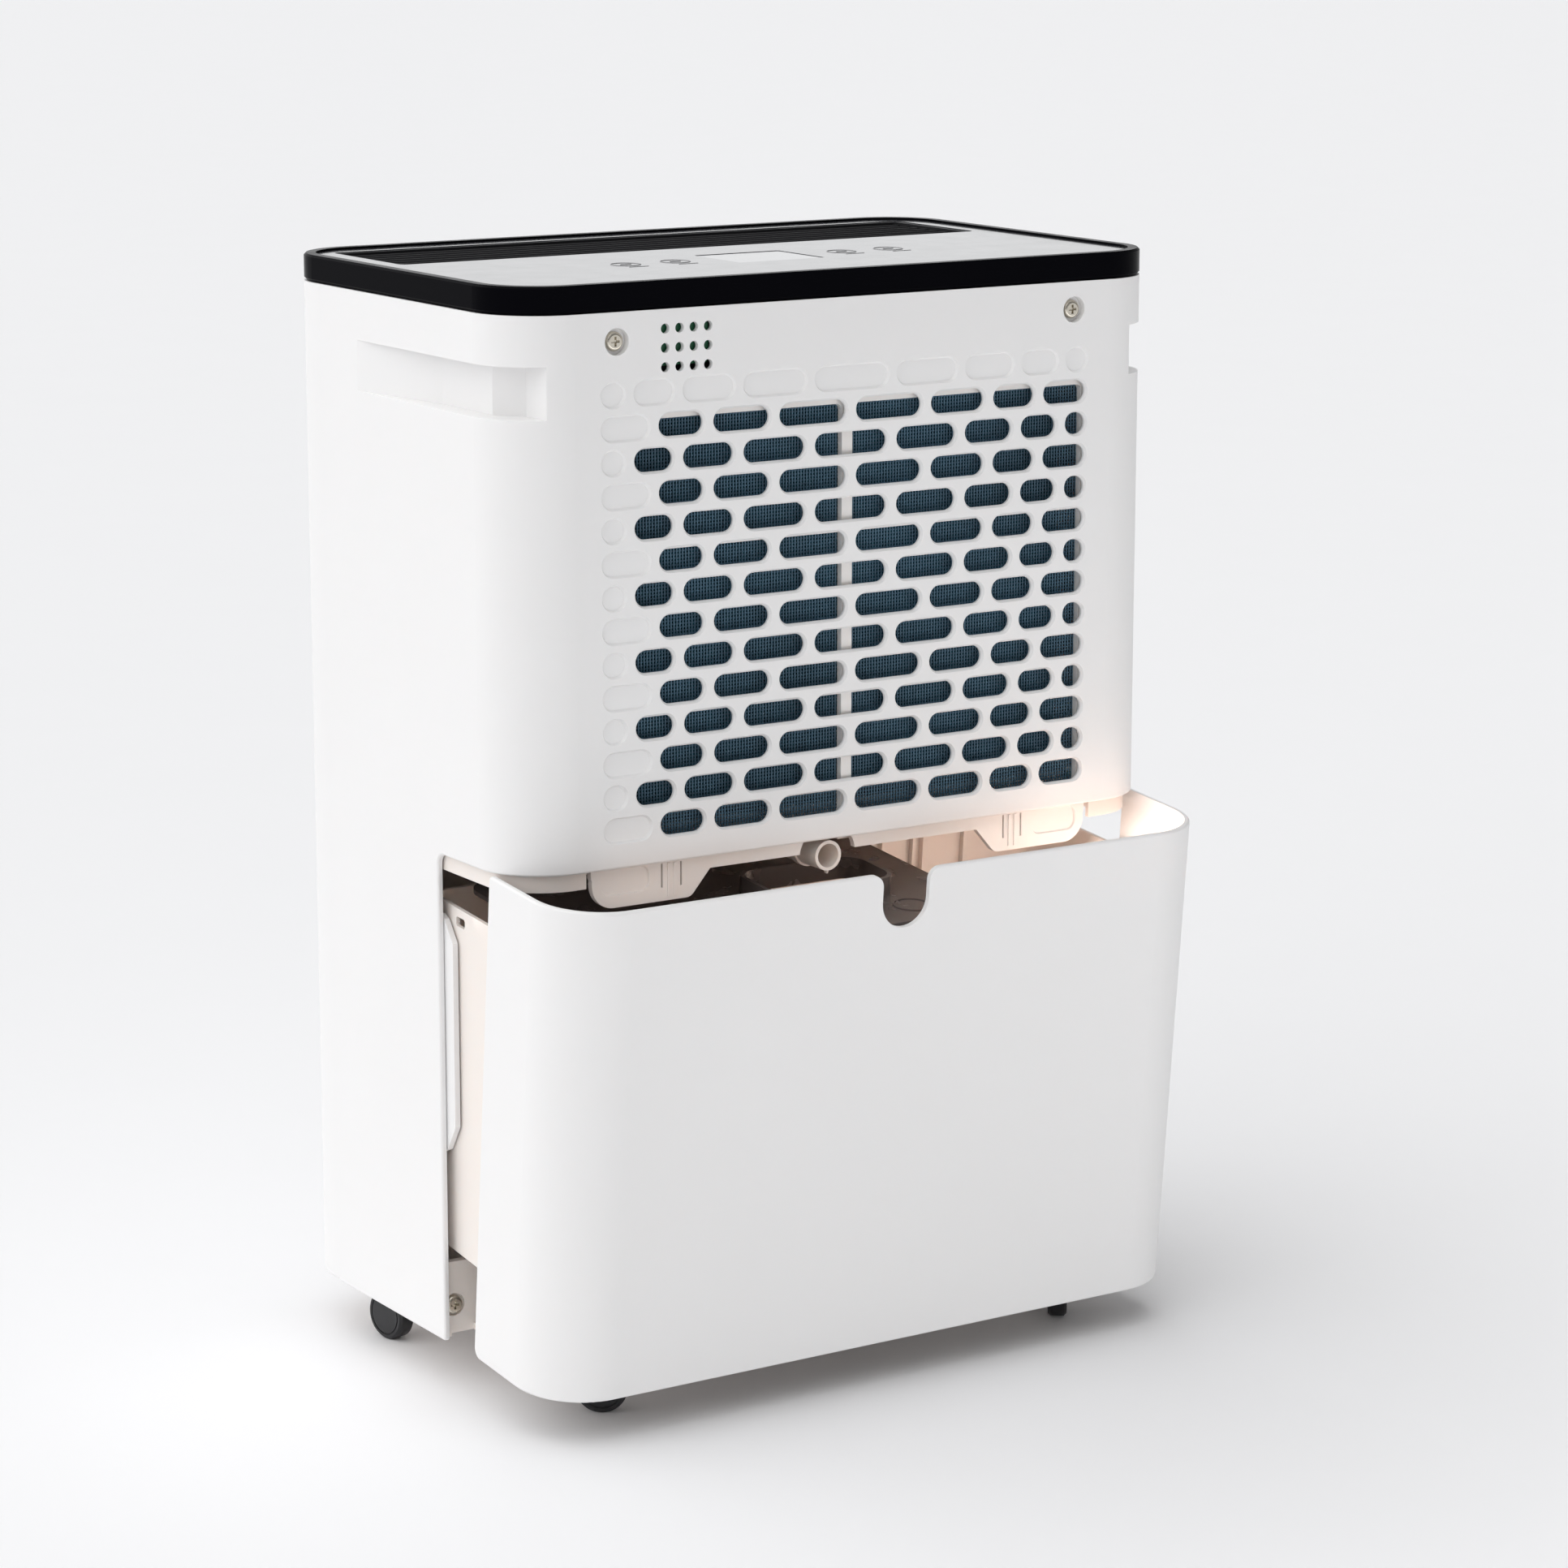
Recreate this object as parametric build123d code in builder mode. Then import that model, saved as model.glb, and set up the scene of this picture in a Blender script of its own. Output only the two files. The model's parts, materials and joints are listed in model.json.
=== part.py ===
from build123d import *
import math
import os

# Portable compressor dehumidifier, about 20 litres a day, with its water tank tipped part-way out.
# Frame: origin on the floor under the middle of the footprint, +Z up, +Y towards the tank and the
# intake grille, +X towards the fan side. All lengths are millimetres.

# --- Overall size -------------------------------------------------------------------------------
WIDTH = 350.0
DEPTH = 215.0
CORNER = 32.0
WALL = 2.5
BODY_BOTTOM = 25.0
BAND_BOTTOM = 500.0
BAND_TOP = 512.5

# --- Water tank and the way it tips out ---------------------------------------------------------
TANK_TILT = 5.0
TANK_OUT = 26.2
TANK_DROP = 5.3
TANK_TOP = 253.3
TANK_LEAD = 37.2
BUCKET_TOP = 226.0
BUCKET_FRONT = -30.0
BUCKET_HALF = 168.4
BUCKET_FLOOR = 61.6
LID_THICK = 2.0
COLLAR_TOP = 236.5

# The tank's displacement is a pure turn about a line parallel to X, far below the floor.
HALF_COT = 0.5 / math.tan(math.radians(TANK_TILT / 2))
SWING_Y_IN_BODY = DEPTH / 2 + TANK_OUT / 2 - TANK_DROP * HALF_COT
SWING_Z = BODY_BOTTOM - TANK_DROP / 2 - TANK_OUT * HALF_COT
TANK_HEIGHT = TANK_TOP - BODY_BOTTOM
REAR_REACH = TANK_OUT + TANK_HEIGHT * math.sin(math.radians(TANK_TILT))

# The footprint of the whole thing at rest is centred on the origin.
BODY_Y = -REAR_REACH / 2
FRONT = BODY_Y - DEPTH / 2
REAR = BODY_Y + DEPTH / 2
HALF = WIDTH / 2
SWING_Y = BODY_Y + SWING_Y_IN_BODY

# --- Rear housing -------------------------------------------------------------------------------
SEAM_Y = FRONT + 40.0
HOUSING_EDGE = 254.4
CUT_LINE = BODY_Y + 36.5
LIP_DROP = 8.0
LIP_START = 33.0
TONGUE_REACH = 7.5
TONGUE_LOW = 128.0
TONGUE_HIGH = 213.5

# Intake grille: pills of two alternating rows, wider towards the middle.
PILL_HEIGHT = 10.2
PILL_WEB = 5.6
PILL_WIDEST = 38.2
PILL_STEP = 6.3
GRILLE_HALF = 129.3
ROW_PITCH = 14.82
ROW_TOP = 464.2
ROWS = 14
PILL_BEVEL = 1.3
PILL_TAPER = 35.0
PILL_FLARE = PILL_BEVEL * math.tan(math.radians(PILL_TAPER))
FILTER_BAR_LOW = 322.0
FILTER_BAR_HIGH = 396.0

# Pan-head screws, the vent in front of the humidity sensor, and the mains inlet in the base pan.
SCREW_X = 121.8
SCREW_Z = 487.2
SCREW_BOSS = 8.0
SCREW_BOSS_DEPTH = 12.0
SCREW_RECESS = 6.0
SCREW_SINK = 1.2
HEAD_RADIUS = 4.3
HEAD_HEIGHT = 2.6
SHANK_RADIUS = 1.8
VENT_X = 86.5
VENT_Z = 483.1
VENT_PITCH_X = 7.3
VENT_PITCH_Z = 8.4
VENT_RADIUS = 2.2
INLET_X = -130.0
INLET_Y = BODY_Y - 92.0
INLET_RADIUS = 7.0

# Tank float, hinged on the bucket's front wall.
FLOAT_X = 110.0
FLOAT_HALF = 18.0
FLOAT_PIN_Y = BODY_Y + BUCKET_FRONT + 9.0
FLOAT_PIN_Z = 204.0
FLOAT_PIN_RADIUS = 1.5

# --- Heat exchangers and fan --------------------------------------------------------------------
COIL_HALF = 130.0
COIL_BOTTOM = 272.0
COIL_TOP = 462.0
EVAPORATOR_Y = BODY_Y + 74.0
CONDENSER_Y = BODY_Y + 48.0
COIL_DEPTH = 21.0
FAN_X = 62.0
FAN_Y = BODY_Y - 34.0
FAN_Z = 352.0
FAN_RADIUS = 68.0
COMPRESSOR_X = -104.0
COMPRESSOR_Y = BODY_Y - 44.0
COMPRESSOR_RADIUS = 50.0
DECK_BOTTOM = 251.0
DECK_TOP = 254.4

# --- Casters ------------------------------------------------------------------------------------
CASTER_FRONT_X = 160.0
CASTER_FRONT_Y = BODY_Y - 55.0
CASTER_REAR_X = 132.5
CASTER_REAR_Y = BODY_Y + 90.0
WHEEL_RADIUS = 12.0
WHEEL_WIDTH = 9.0
TRAIL = 8.0
# Each caster rests turned its own way, degrees about +Z from trailing towards +Y.
CASTERS = {
    "front_left": (CASTER_FRONT_X, CASTER_FRONT_Y, 12.0),
    "rear_left": (CASTER_REAR_X, CASTER_REAR_Y, 57.0),
    "front_right": (-CASTER_FRONT_X, CASTER_FRONT_Y, -20.0),
    "rear_right": (-CASTER_REAR_X, CASTER_REAR_Y, -35.0),
}

os.makedirs("parts", exist_ok=True)


def save(piece, name):
    """Label a finished piece and write it as its own STEP file."""
    piece.label = name
    export_step(piece, f"parts/{name}.step")


def tipped(piece):
    """A tank piece, drawn with the tank closed, turned to the rest pose."""
    return piece.rotate(Axis((0, SWING_Y, SWING_Z), (1, 0, 0)), -TANK_TILT)


def level(z):
    """The horizontal plane at height z, centred on the body."""
    return Plane((0, BODY_Y, z))


def pill(width, height):
    """A round-ended slot, or a circle where it is no wider than high."""
    if width > height + 0.5:
        SlotOverall(width, height)
    else:
        Circle(width / 2)


def pill_row(shifted):
    """(centre x, width) of each pill in one grille row, from -X to +X."""
    half_row = []
    edge = PILL_WEB / 2 if shifted else PILL_WIDEST / 2
    index = 0.5 if shifted else 1.0
    if shifted:
        start = edge
    else:
        start = edge + PILL_WEB
    while start + PILL_WIDEST - PILL_STEP * index < GRILLE_HALF - PILL_WEB - PILL_HEIGHT:
        width = PILL_WIDEST - PILL_STEP * index
        half_row.append((start + width / 2, width))
        start += width + PILL_WEB
        index += 1.0
    half_row.append(((start + GRILLE_HALF) / 2, GRILLE_HALF - start))
    row = [(-x, w) for x, w in reversed(half_row)]
    if not shifted:
        row.append((0.0, PILL_WIDEST))
    return row + half_row


# Every pill of the grille as (x, z, width, open through).
PILLS = []
for row in range(ROWS):
    pills = pill_row(shifted=row % 2 == 1)
    for number, (x, width) in enumerate(pills):
        is_open = row > 0 and number < len(pills) - 1
        PILLS.append((x, ROW_TOP - row * ROW_PITCH, width, is_open))


# --- Front cover: the plain front with its two rounded corners ----------------------------------
with BuildPart() as front_cover:
    with BuildSketch(level(BODY_BOTTOM)):
        RectangleRounded(WIDTH, DEPTH, CORNER)
        offset(amount=-WALL, mode=Mode.SUBTRACT)
    extrude(amount=BAND_BOTTOM - BODY_BOTTOM)
    with BuildSketch(Plane((0, 0, BODY_BOTTOM))):
        with Locations((0, SEAM_Y + DEPTH)):
            Rectangle(2 * WIDTH, 2 * DEPTH)
    extrude(amount=BAND_BOTTOM - BODY_BOTTOM, mode=Mode.SUBTRACT)
    # Rounded lower front edge.
    front_foot = front_cover.edges().group_by(Axis.Z)[0].filter_by(GeomType.LINE).filter_by(Axis.X)
    fillet(front_foot.sort_by(Axis.Y)[0], WALL * 0.8)
save(front_cover.part, "front_cover")

# --- Rear cover: both sides and the grille, one shell -------------------------------------------
GRIP_LOW = 455.0
GRIP_HIGH = 478.0
GRIP_DEPTH = 9.5
GRIP_START = BODY_Y - 32.0
GRIP_END_X = 155.5


def grip_outline(inset):
    """Plan of one handle recess, pushed further into the body by inset."""
    with BuildLine(mode=Mode.PRIVATE) as outline:
        Polyline(
            (HALF + 5, GRIP_START - inset * 2),
            (HALF, GRIP_START - inset * 2),
            (HALF - GRIP_DEPTH - inset, BODY_Y + 30),
            (HALF - GRIP_DEPTH - inset, REAR - CORNER),
            (GRIP_END_X - inset, REAR - CORNER + 12),
            (GRIP_END_X - inset, REAR + 5),
            (HALF + 5, REAR + 5),
            close=True,
        )
    return outline.line


with BuildPart() as grip_block:
    with BuildSketch(Plane.XY.offset(GRIP_LOW)):
        make_face(grip_outline(0))
    extrude(amount=GRIP_HIGH - GRIP_LOW)

with BuildPart() as grip_liner:
    with BuildSketch(Plane.XY.offset(GRIP_LOW - WALL)):
        make_face(grip_outline(WALL))
    extrude(amount=GRIP_HIGH - GRIP_LOW + 2 * WALL)

with BuildPart() as grip_slice:
    with BuildSketch(level(GRIP_LOW - WALL)):
        RectangleRounded(WIDTH, DEPTH, CORNER)
    extrude(amount=GRIP_HIGH - GRIP_LOW + 2 * WALL)
    add(grip_liner.part, mode=Mode.INTERSECT)


def on_outer_skin(edge):
    """Whether an edge lies on the outer face of the shell."""
    middle = edge.center()
    if edge.geom_type == GeomType.CIRCLE:
        return abs(edge.radius - CORNER) < 0.01
    return abs(abs(middle.X) - HALF) < 0.01 or abs(middle.Y - REAR) < 0.01


with BuildPart() as rear_cover:
    with BuildSketch(level(BODY_BOTTOM)):
        RectangleRounded(WIDTH, DEPTH, CORNER)
        offset(amount=-WALL, mode=Mode.SUBTRACT)
    extrude(amount=BAND_BOTTOM - BODY_BOTTOM)
    # Everything forward of the seam belongs to the front cover.
    with BuildSketch(Plane.XY.offset(BODY_BOTTOM)):
        with Locations((0, SEAM_Y - DEPTH)):
            Rectangle(2 * WIDTH, 2 * DEPTH)
    extrude(amount=BAND_BOTTOM - BODY_BOTTOM, mode=Mode.SUBTRACT)
    # The tank's bay, open at the back and round both rear corners.
    with BuildSketch(Plane.YZ.offset(-WIDTH)):
        with Locations(((CUT_LINE + REAR + 20) / 2, (HOUSING_EDGE + BODY_BOTTOM - 10) / 2)):
            Rectangle(REAR + 20 - CUT_LINE, HOUSING_EDGE - BODY_BOTTOM + 10)
    extrude(amount=2 * WIDTH, mode=Mode.SUBTRACT)
    along_x = rear_cover.edges().filter_by(Axis.X)
    bay_edges = along_x.filter_by_position(Axis.Y, CUT_LINE - 0.1, CUT_LINE + 0.1)
    fillet(bay_edges.group_by(Axis.Z)[-1], 5)
    fillet(bay_edges.group_by(Axis.Z)[0], 1.5)
    hem = rear_cover.edges().filter_by_position(Axis.Z, HOUSING_EDGE - 0.01, HOUSING_EDGE + 0.01)
    fillet(hem.filter_by(on_outer_skin), 1.2)
    # Tongue inside each side panel that guides the tank.
    for side in (-1, 1):
        with BuildSketch(Plane.YZ.offset(side * (HALF - WALL - 0.6))):
            with BuildLine():
                Polyline(
                    (CUT_LINE - 4, TONGUE_LOW - 14), (CUT_LINE, TONGUE_LOW - 12),
                    (CUT_LINE + TONGUE_REACH, TONGUE_LOW), (CUT_LINE + TONGUE_REACH, TONGUE_HIGH),
                    (CUT_LINE, TONGUE_HIGH + 10), (CUT_LINE - 4, TONGUE_HIGH + 12), close=True,
                )
            make_face()
        extrude(amount=-side * 2.6)
        with BuildSketch(Plane.YZ.offset(side * (HALF - WALL - 1))):
            with Locations((CUT_LINE - 2.5, (TONGUE_LOW + TONGUE_HIGH) / 2)):
                Rectangle(3, TONGUE_HIGH - TONGUE_LOW + 20)
        extrude(amount=side * 1.5)
    # Handle recesses, each with a liner that walls it on the inside.
    add(grip_slice.part)
    add(mirror(grip_slice.part, about=Plane.YZ, mode=Mode.PRIVATE))
    add(grip_block.part, mode=Mode.SUBTRACT)
    add(mirror(grip_block.part, about=Plane.YZ, mode=Mode.PRIVATE), mode=Mode.SUBTRACT)
    # Bosses for the two upper screws, and their recesses.
    with BuildSketch(Plane.XZ.offset(-(REAR - 1))):
        with Locations((SCREW_X, SCREW_Z), (-SCREW_X, SCREW_Z)):
            Circle(SCREW_BOSS)
    extrude(amount=SCREW_BOSS_DEPTH)
    with BuildSketch(Plane.XZ.offset(-REAR)):
        with Locations((SCREW_X, SCREW_Z), (-SCREW_X, SCREW_Z)):
            Circle(SCREW_RECESS)
    extrude(amount=SCREW_SINK + HEAD_HEIGHT, mode=Mode.SUBTRACT)
    with BuildSketch(Plane.XZ.offset(-REAR)):
        with Locations((SCREW_X, SCREW_Z), (-SCREW_X, SCREW_Z)):
            Circle(SHANK_RADIUS + 0.1)
        # Small round vents in front of the humidity sensor.
        with Locations((VENT_X, VENT_Z)):
            with GridLocations(VENT_PITCH_X, VENT_PITCH_Z, 4, 3):
                Circle(VENT_RADIUS)
    extrude(amount=WALL * 8, mode=Mode.SUBTRACT)
    # Grille: a bevelled mouth for every pill, through where air goes in.
    with BuildSketch(Plane.XZ.offset(-REAR)) as mouths:
        for x, z, width, is_open in PILLS:
            with Locations((x, z)):
                pill(width + 2 * PILL_FLARE, PILL_HEIGHT + 2 * PILL_FLARE)
    extrude(mouths.sketch, amount=PILL_BEVEL, taper=PILL_TAPER, mode=Mode.SUBTRACT)
    with BuildSketch(Plane.XZ.offset(-REAR)) as holes:
        for x, z, width, is_open in PILLS:
            if is_open:
                with Locations((x, z)):
                    pill(width, PILL_HEIGHT)
    extrude(holes.sketch, amount=WALL + 1, mode=Mode.SUBTRACT)
save(rear_cover.part, "rear_cover")

# --- Top frame: the dark band round the top -----------------------------------------------------
RIM = 5.5
REVEAL = 1.0
LEDGE = 9.5
PANEL_TOP = BAND_TOP - 1.0
PANEL_THICK = 2.6

with BuildPart() as top_frame:
    with BuildSketch(level(BAND_BOTTOM + REVEAL)):
        RectangleRounded(WIDTH, DEPTH, CORNER)
    extrude(amount=BAND_TOP - BAND_BOTTOM - REVEAL)
    chamfer(top_frame.edges().group_by(Axis.Z)[-1], 1.0)
    chamfer(top_frame.edges().group_by(Axis.Z)[0], 0.6)
    with BuildSketch(level(BAND_BOTTOM)):
        RectangleRounded(WIDTH, DEPTH, CORNER)
        offset(amount=-1.2, mode=Mode.REPLACE)
    extrude(amount=REVEAL)
    with BuildSketch(level(BAND_BOTTOM)):
        RectangleRounded(WIDTH, DEPTH, CORNER)
        offset(amount=-LEDGE, mode=Mode.REPLACE)
    extrude(amount=BAND_TOP - BAND_BOTTOM, mode=Mode.SUBTRACT)
    with BuildSketch(level(PANEL_TOP - PANEL_THICK)):
        RectangleRounded(WIDTH, DEPTH, CORNER)
        offset(amount=-RIM, mode=Mode.REPLACE)
    extrude(amount=PANEL_THICK + 2, mode=Mode.SUBTRACT)
save(top_frame.part, "top_frame")

# --- Control panel, display window and outlet louvres -------------------------------------------
OUTLET_HALF = 157.0
OUTLET_FRONT = BODY_Y - 90.0
OUTLET_REAR = BODY_Y - 22.0
OUTLET_Y = (OUTLET_FRONT + OUTLET_REAR) / 2
OUTLET_DEPTH = OUTLET_REAR - OUTLET_FRONT
DISPLAY_Y = BODY_Y + 30.0
DISPLAY_WIDTH = 46.0
DISPLAY_DEPTH = 40.0
SLATS = 8

with BuildPart() as control_panel:
    with BuildSketch(level(PANEL_TOP - PANEL_THICK)):
        RectangleRounded(WIDTH, DEPTH, CORNER)
        offset(amount=-RIM - 0.4, mode=Mode.REPLACE)
        with Locations((0, OUTLET_Y - BODY_Y)):
            RectangleRounded(2 * OUTLET_HALF, OUTLET_DEPTH, 4, mode=Mode.SUBTRACT)
        with Locations((0, DISPLAY_Y - BODY_Y)):
            RectangleRounded(DISPLAY_WIDTH, DISPLAY_DEPTH, 1.5, mode=Mode.SUBTRACT)
    extrude(amount=PANEL_THICK)
save(control_panel.part, "control_panel")

with BuildPart() as display_window:
    with BuildSketch(Plane((0, DISPLAY_Y, PANEL_TOP - 2.2))):
        RectangleRounded(DISPLAY_WIDTH - 0.2, DISPLAY_DEPTH - 0.2, 1.4)
    extrude(amount=2.0)
save(display_window.part, "display_window")

with BuildPart() as outlet_louvres:
    with BuildSketch(Plane((0, OUTLET_Y, BAND_BOTTOM + 1.5))):
        RectangleRounded(2 * OUTLET_HALF - 0.4, OUTLET_DEPTH - 0.4, 3.8)
        RectangleRounded(2 * OUTLET_HALF - 5, OUTLET_DEPTH - 5, 2, mode=Mode.SUBTRACT)
    extrude(amount=PANEL_TOP - 0.4 - BAND_BOTTOM - 1.5)
    with BuildSketch(Plane.YZ.offset(-OUTLET_HALF + 1)):
        for index in range(SLATS):
            along = OUTLET_FRONT + (index + 0.5) * OUTLET_DEPTH / SLATS
            with Locations(Location((along, BAND_BOTTOM + 6.0), -22)):
                SlotOverall(8.6, 1.8, rotation=90)
    extrude(amount=2 * OUTLET_HALF - 2)
    with BuildSketch(Plane((0, OUTLET_Y, BAND_BOTTOM + 1.5))):
        with GridLocations(OUTLET_HALF, 1, 2, 1):
            Rectangle(1.6, OUTLET_DEPTH - 3)
    extrude(amount=2.0)
save(outlet_louvres.part, "outlet_louvres")

# --- Base pan: the floor that carries everything ------------------------------------------------
INNER_WIDTH = 343.0
INNER_DEPTH = 207.0
INNER_CORNER = 28.0
PAN_BOTTOM = 27.0
PAN_TOP = 30.0
STEM_RADIUS = 4.0
RUNNING = 0.05
SOCKET_TOP = 34.0
FLANGE_Y = BODY_Y + 33.0
FLANGE_THICK = 4.0
FLANGE_TOP = 61.0
PAN_REAR_HALF = 158.0
BASE_SCREW_X = 168.0
BASE_SCREW_Z = 40.5

with BuildPart() as base_pan:
    with BuildSketch(level(PAN_BOTTOM)):
        RectangleRounded(INNER_WIDTH, INNER_DEPTH, INNER_CORNER)
    extrude(amount=PAN_TOP - PAN_BOTTOM)
    with BuildSketch(level(BODY_BOTTOM + 0.4)):
        RectangleRounded(INNER_WIDTH, INNER_DEPTH, INNER_CORNER)
        offset(amount=-2.2, mode=Mode.SUBTRACT)
    extrude(amount=PAN_TOP - BODY_BOTTOM - 0.4)
    for side in (-1, 1):
        with BuildSketch(Plane.XZ.offset(-FLANGE_Y)):
            with Locations((side * (INNER_WIDTH / 2 - 8), (PAN_TOP + FLANGE_TOP) / 2 - 1)):
                Rectangle(16, FLANGE_TOP - PAN_TOP + 2)
        extrude(amount=FLANGE_THICK)
        with BuildSketch(Plane.XZ.offset(-FLANGE_Y)):
            with Locations((side * BASE_SCREW_X, BASE_SCREW_Z)):
                Circle(5.4)
        extrude(amount=1.6, mode=Mode.SUBTRACT)
        with BuildSketch(Plane.XZ.offset(-FLANGE_Y)):
            with Locations((side * BASE_SCREW_X, BASE_SCREW_Z)):
                Circle(SHANK_RADIUS + 0.1)
        extrude(amount=FLANGE_THICK, mode=Mode.SUBTRACT)
    # Behind the flanges the pan is narrower, and the hole for the mains inlet is near the front.
    with BuildSketch(Plane.XY.offset(BODY_BOTTOM)):
        for side in (-1, 1):
            with Locations((side * (PAN_REAR_HALF + 20), FLANGE_Y + 50)):
                Rectangle(40, 100)
        with Locations((INLET_X, INLET_Y)):
            Circle(INLET_RADIUS + 0.1)
    extrude(amount=PAN_TOP - BODY_BOTTOM + 1, mode=Mode.SUBTRACT)
    with BuildSketch(Plane.XY.offset(PAN_BOTTOM)):
        with Locations(*[(x, y) for x, y, turn in CASTERS.values()]):
            Circle(STEM_RADIUS + 4)
    extrude(amount=SOCKET_TOP - PAN_BOTTOM)
    with BuildSketch(Plane.XY.offset(PAN_BOTTOM)):
        with Locations(*[(x, y) for x, y, turn in CASTERS.values()]):
            Circle(STEM_RADIUS + RUNNING)
    extrude(amount=SOCKET_TOP - PAN_BOTTOM, mode=Mode.SUBTRACT)
save(base_pan.part, "base_pan")

# --- Partition between the tank's bay and the electrical space ----------------------------------
with BuildPart() as bay_wall:
    with BuildSketch(Plane((0, BODY_Y + BUCKET_FRONT - 2.5, PAN_TOP + 0.2))):
        Rectangle(INNER_WIDTH, 2)
        with GridLocations(INNER_WIDTH / 6, 0, 6, 1):
            with Locations((0, -3)):
                Rectangle(2, 5)
    extrude(amount=DECK_BOTTOM - PAN_TOP - 0.4)
save(bay_wall.part, "bay_wall")

# --- Deck over the tank, with the lip that shows under the rear cover ---------------------------
FILTER_HALF = 134.5
TAB_TOP = 254.0
DRAIN_X = 10.0
DRAIN_Z = 246.0
DRAIN_Y = BODY_Y + 66.0

with BuildPart() as deck:
    with BuildSketch(level(DECK_BOTTOM)):
        RectangleRounded(INNER_WIDTH, INNER_DEPTH, INNER_CORNER)
    extrude(amount=DECK_TOP - DECK_BOTTOM)
    with BuildSketch(level(HOUSING_EDGE - LIP_DROP)):
        RectangleRounded(INNER_WIDTH, INNER_DEPTH, INNER_CORNER)
        offset(amount=-2.2, mode=Mode.SUBTRACT)
        with Locations((0, LIP_START - DEPTH)):
            Rectangle(2 * WIDTH, 2 * DEPTH, mode=Mode.SUBTRACT)
    extrude(amount=LIP_DROP - 2)
    # Mouth that the filter drops through, open at the back edge.
    with BuildSketch(level(HOUSING_EDGE - LIP_DROP)):
        with Locations((0, INNER_DEPTH / 2)):
            Rectangle(2 * FILTER_HALF + 5, 14)
        with Locations((DRAIN_X, INNER_DEPTH / 2)):
            Rectangle(20, 92)
    extrude(amount=LIP_DROP + 2, mode=Mode.SUBTRACT)
save(deck.part, "deck")

# --- Filter: frame with two pull tabs, and its mesh ---------------------------------------------
FILTER_Y = BODY_Y + 103.3
FILTER_THICK = 3.4
FILTER_TOP = 458.0
FRAME_BAR = 6.0
WINDOW_INNER = 2.8
WINDOW_OUTER = 129.5
TAB_BOTTOM = 236.0
BAR_BOTTOM = 248.0
TAB_OUTER = 134.0
TAB_INNER = 83.0
TAB_SLOPE = 12.0

with BuildPart() as filter_frame:
    with BuildSketch(Plane.XZ.offset(-FILTER_Y)):
        with Locations((0, (FILTER_TOP + BAR_BOTTOM) / 2)):
            RectangleRounded(2 * FILTER_HALF, FILTER_TOP - BAR_BOTTOM, 3)
        for side in (-1, 1):
            with Locations((side * (WINDOW_INNER + WINDOW_OUTER) / 2, (FILTER_TOP + TAB_TOP + 3) / 2)):
                RectangleRounded(
                    WINDOW_OUTER - WINDOW_INNER, FILTER_TOP - TAB_TOP - 3 - 2 * FRAME_BAR, 3,
                    mode=Mode.SUBTRACT,
                )
        for height in (FILTER_BAR_LOW, FILTER_BAR_HIGH):
            with Locations((0, height)):
                Rectangle(2 * FILTER_HALF - 4, FRAME_BAR * 0.6)
    extrude(amount=FILTER_THICK)
    for side in (-1, 1):
        with BuildSketch(Plane.XZ.offset(-FILTER_Y)) as tab:
            with BuildLine():
                Polyline(
                    (side * (TAB_INNER - TAB_SLOPE), BAR_BOTTOM + 2),
                    (side * TAB_INNER, TAB_BOTTOM),
                    (side * TAB_OUTER, TAB_BOTTOM),
                    (side * TAB_OUTER, BAR_BOTTOM + 2),
                    close=True,
                )
            make_face()
            low = tab.vertices().group_by(Axis.Y)[0].sort_by(Axis.X)
            fillet(low[-1 if side > 0 else 0], 11)
            fillet(tab.vertices().group_by(Axis.Y)[0].sort_by(Axis.X)[0 if side > 0 else -1], 5)
        extrude(amount=FILTER_THICK)
        # Raised thumb pad, two slits and the pair of ribs between them.
        with BuildSketch(Plane.XZ.offset(-FILTER_Y)):
            with Locations((side * 117, TAB_TOP - 6.5)):
                RectangleRounded(25, 12, 4.5)
        extrude(amount=0.9, taper=30, mode=Mode.SUBTRACT)
        with BuildSketch(Plane.XZ.offset(-FILTER_Y)):
            with Locations((side * 98, TAB_TOP - 6.5), (side * 88, TAB_TOP - 6.5)):
                Rectangle(0.9, 11)
        extrude(amount=FILTER_THICK, mode=Mode.SUBTRACT)
        with BuildSketch(Plane.XZ.offset(-FILTER_Y)):
            with Locations((side * 94.6, TAB_TOP - 8.5), (side * 91.4, TAB_TOP - 8.5)):
                Rectangle(1.4, 15)
        extrude(amount=-0.6)
    # Arched relief that lets the frame slide down past the drain spout.
    with BuildSketch(Plane.XZ.offset(-FILTER_Y)):
        with Locations((DRAIN_X, BAR_BOTTOM - 1)):
            Ellipse(15, 12.8)
    extrude(amount=FILTER_THICK, mode=Mode.SUBTRACT)
save(filter_frame.part, "filter_frame")

with BuildPart() as filter_mesh:
    with BuildSketch(Plane.XZ.offset(-(FILTER_Y - FILTER_THICK - 0.1))):
        with Locations((0, (FILTER_TOP + TAB_TOP + 3) / 2)):
            RectangleRounded(2 * FILTER_HALF - 6, FILTER_TOP - TAB_TOP - 9, 3)
    extrude(amount=0.8)
save(filter_mesh.part, "filter_mesh")

with BuildPart() as filter_guides:
    for side in (-1, 1):
        with BuildSketch(Plane((side * (FILTER_HALF + 2.6), FILTER_Y - 2.4, DECK_TOP + 0.2))):
            Rectangle(3.4, 7)
            with Locations((-side * 3, -2.9)):
                Rectangle(4, 1.2)
        extrude(amount=FILTER_TOP - DECK_TOP - 4)
save(filter_guides.part, "filter_guides")

# --- Drip tray and drain spout ------------------------------------------------------------------
TRAY_FRONT = BODY_Y + 33.0
TRAY_REAR = BODY_Y + 92.0

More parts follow.
